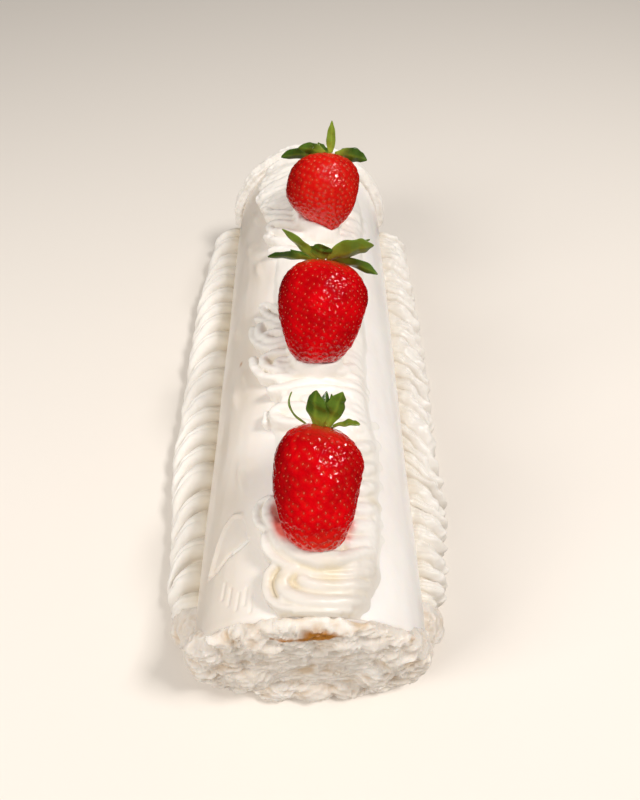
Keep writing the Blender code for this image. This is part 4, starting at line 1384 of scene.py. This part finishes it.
def build_seeds(name, places, normals):
    """All of a berry's seeds as one mesh, a copy of the pattern in each dimple."""
    deselect()
    bpy.ops.mesh.primitive_uv_sphere_add(segments=6, ring_count=5, radius=1.0)
    pattern = bpy.context.object
    ball = point_rows(pattern, "co") * np.array(SEED_SIZE)
    faces = [tuple(face.vertices) for face in pattern.data.polygons]
    bpy.data.objects.remove(pattern)
    points = []
    corners = []
    for place, normal in zip(places, normals):
        up = Vector(normal).normalized()
        turn = np.array(up.to_track_quat("Z", "Y").to_matrix())
        start = len(points) * len(ball)
        points.append(ball @ turn.T + place + np.array(up) * SEED_LIFT)
        corners.extend(tuple(start + corner for corner in face) for face in faces)
    mesh = bpy.data.meshes.new(f"seeds_{name}")
    mesh.from_pydata((np.concatenate(points) + OFFSET).tolist(), [], corners)
    seeds = bpy.data.objects.new(f"seeds_{name}", mesh)
    bpy.context.scene.collection.objects.link(seeds)
    choose(seeds)
    bpy.ops.object.shade_smooth()
    mesh.materials.append(SEED)
    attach(seeds, "root")
    report(seeds)


for berry_name, berry_shape in BERRIES.items():
    build_seeds(berry_name, *build_berry(berry_name, berry_shape))

# %% [markdown]
# The leaves are thin and folded along their middle vein, dark green on top and yellow-green at the
# root. Each is a small sheet on a curved middle line, thickened afterwards, and all the leaves of
# a berry share one small hub.

# %% Leaf material
LEAF = new_finish(
    "leaf", ((0.030, 0.072, 0.006), (0.070, 0.135, 0.010)),
    (("vein", (0.26, 0.34, 0.030)), ("root", (0.34, 0.42, 0.045))),
    (140.0, 1600.0, 0.25, 520.0, 0.5),
    {"Roughness": 0.34, "Specular IOR Level": 0.35, "Coat Weight": 0.25, "Coat Roughness": 0.12,
     "Subsurface Weight": 0.10, "Subsurface Scale": 0.001})
print("leaf finish", LEAF.name)

# %% [markdown]
# A leaf's middle line is a curve through three points: its root on the stalk, its tip, and one
# that bows outwards between them. The rows of its sheet cross that line, widest near the middle.

# %% Leaf sheets
LEAF_ROWS = 18
LEAF_COLUMNS = 9
LEAF_HUB = 0.0040
LEAF_WIDTHS = ((0.0, 0.42), (0.26, 0.96), (0.46, 1.0), (0.72, 0.70), (0.89, 0.34), (1.0, 0.03))
# each leaf: its root's compass angle round the stalk, its tip in the stalk's own frame and its
# width, both in mm, how far its middle bows out as a share of its length, and how light it is
LEAVES = {
    "front": (
        (170, (-10.5, 2.6, 13.6), 2.2, 0.56, 0.5),
        (232, (-2, -10.9, 12.3), 8.8, 0.18, 0.1),
        (95, (2.2, 7.7, 13.9), 5, 0.14, 0),
        (42, (3.7, 5, 12.5), 4.2, 0.14, 0),
        (298, (6.8, -9.7, 11.6), 9.2, 0.14, 0.25),
        (346, (12.7, -5.5, 0.4), 6.4, 0.12, 0.6),
    ),
    "middle": (
        (184, (-23.4, 3.6, 2.4), 6.2, 0.18, 0),
        (140, (-13.5, 2.1, 5.1), 3.2, 0.1, 0),
        (218, (-16.3, -8.7, 11.8), 6.4, 0.1, 0.55),
        (262, (0.1, -10.3, 5.1), 9.5, 0.2, 0),
        (46, (21.1, 1.9, 9.3), 5, 0.24, 0.1),
        (318, (21.7, -8.9, 4.8), 11, 0.2, 0.5),
        (2, (24.7, 4.3, -5.5), 6.2, 0.2, 0.1),
    ),
    "back": (
        (290, (1.8, -10.8, 13.4), 5.2, 0.05, 0.9),
        (186, (-25.1, 5.4, 1.8), 7, 0.26, 0),
        (232, (-15.9, -5.2, 2.2), 6.5, 0.2, 0),
        (352, (20.7, 3.6, -1.7), 8, 0.24, 0),
        (32, (12.6, 0.7, 3.7), 6, 0.2, 0),
        (100, (-4.9, 8, 10.4), 6, 0.15, 0.1),
    ),
}
# where each stalk stands: the frame its leaves are measured in, and how far up their root lies
STALKS = {
    "front": {"centre": (0.0062, -0.0970, 0.1010), "tilt": 32, "turn": 2, "up": 0.0172},
    "middle": {"centre": (0.0062, -0.0148, 0.1035), "tilt": 42, "turn": 0, "up": 0.0198},
    "back": {"centre": (0.0115, 0.0765, 0.1030), "tilt": 38, "turn": 2, "up": 0.0163},
}


def leaf_sheet(number, stalk, leaf):
    """One leaf as an open sheet, tipped to its place on the cake."""
    compass, tip, width, arch, light = leaf
    angle = math.radians(compass)
    outward = np.array([math.cos(angle), math.sin(angle), 0.0])
    upward = np.array([0.0, 0.0, 1.0])
    root = outward * LEAF_HUB * 0.8
    tip = np.array(tip) / 1000
    aside = outward * (1 + 2 * arch) + upward * (1 - 2 * arch)
    aside = aside / np.linalg.norm(aside) * arch * np.linalg.norm(tip - root)
    bend = (root + tip) / 2 + aside
    share = np.linspace(0.0, 1.0, LEAF_ROWS)[:, None]
    side = np.linspace(-1.0, 1.0, LEAF_COLUMNS)[None, :]
    middle = (1 - share) ** 2 * root + 2 * share * (1 - share) * bend + share ** 2 * tip
    along = 2 * (1 - share) * (bend - root) + 2 * share * (tip - bend)
    along /= np.linalg.norm(along, axis=1, keepdims=True)
    across = np.cross(along, 0.5 * upward - outward)
    across /= np.linalg.norm(across, axis=1, keepdims=True)
    face = np.cross(across, along)
    spread = between(LEAF_WIDTHS, share.ravel())[:, None] * (width / 1000) / 2
    out = -side * spread * (1 + 0.06 * np.sin(share * 21 + number) * np.abs(side) ** 3)
    folded = 0.32 * np.abs(side) ** 1.3 + 0.10 * np.sin(share * 15 + side * 2 + number)
    raised = spread * folded
    places = middle[:, None, :] + across[:, None, :] * out[..., None]
    places = places + face[:, None, :] * raised[..., None]
    vein = 0.5 * np.exp(-(side / 0.16) ** 2) * (1 - 0.5 * share) + 0.8 * light
    rooted = np.clip(1.15 - share / 0.34, 0.0, 1.0) * np.ones_like(side)
    marks = {"vein": np.clip(vein, 0, 1), "root": rooted * 0.85}
    return sheet(f"leaf_{number}", to_cake(stalk, places + upward * stalk["up"]), marks)


print("leaves", {name: len(rows) for name, rows in LEAVES.items()})

# %% [markdown]
# The leaves of one berry are joined, thickened by a solidify modifier and rounded by a subdivision
# one. A flat ball where the stalk was hides their roots, as the green star of a real berry does.

# %% Leaves round their hubs
LEAF_THICKNESS = 0.0005
HUB_SIZE = (LEAF_HUB * 0.85, LEAF_HUB * 0.85, 0.0008)
HUB_DROP = 0.0012


def build_leaves(name, stalk):
    """A ring of leaves round its hub."""
    items = [leaf_sheet(number, stalk, leaf) for number, leaf in enumerate(LEAVES[name])]
    leaves = join(items, f"leafy_{name}")
    thick = leaves.modifiers.new("thickness", "SOLIDIFY")
    thick.thickness = LEAF_THICKNESS
    thick.offset = 0.0
    finer = leaves.modifiers.new("finer", "SUBSURF")
    finer.levels = 1
    finer.render_levels = 1
    apply_all(leaves)

    deselect()
    bpy.ops.mesh.primitive_uv_sphere_add(segments=24, ring_count=12, radius=1.0)
    hub = bpy.context.object
    ball = point_rows(hub, "co") * np.array(HUB_SIZE)
    put_spots(hub, to_cake(stalk, ball + np.array([0, 0, stalk["up"] - HUB_DROP])))
    add_mark(hub, "vein", np.zeros(len(ball)))
    add_mark(hub, "root", np.full(len(ball), 0.8))
    leaves = join([leaves, hub], f"leafy_{name}")
    choose(leaves)
    bpy.ops.object.shade_smooth()
    finish_piece(leaves, f"leaves_{name}", LEAF)


for berry_name, berry_stalk in STALKS.items():
    build_leaves(berry_name, berry_stalk)
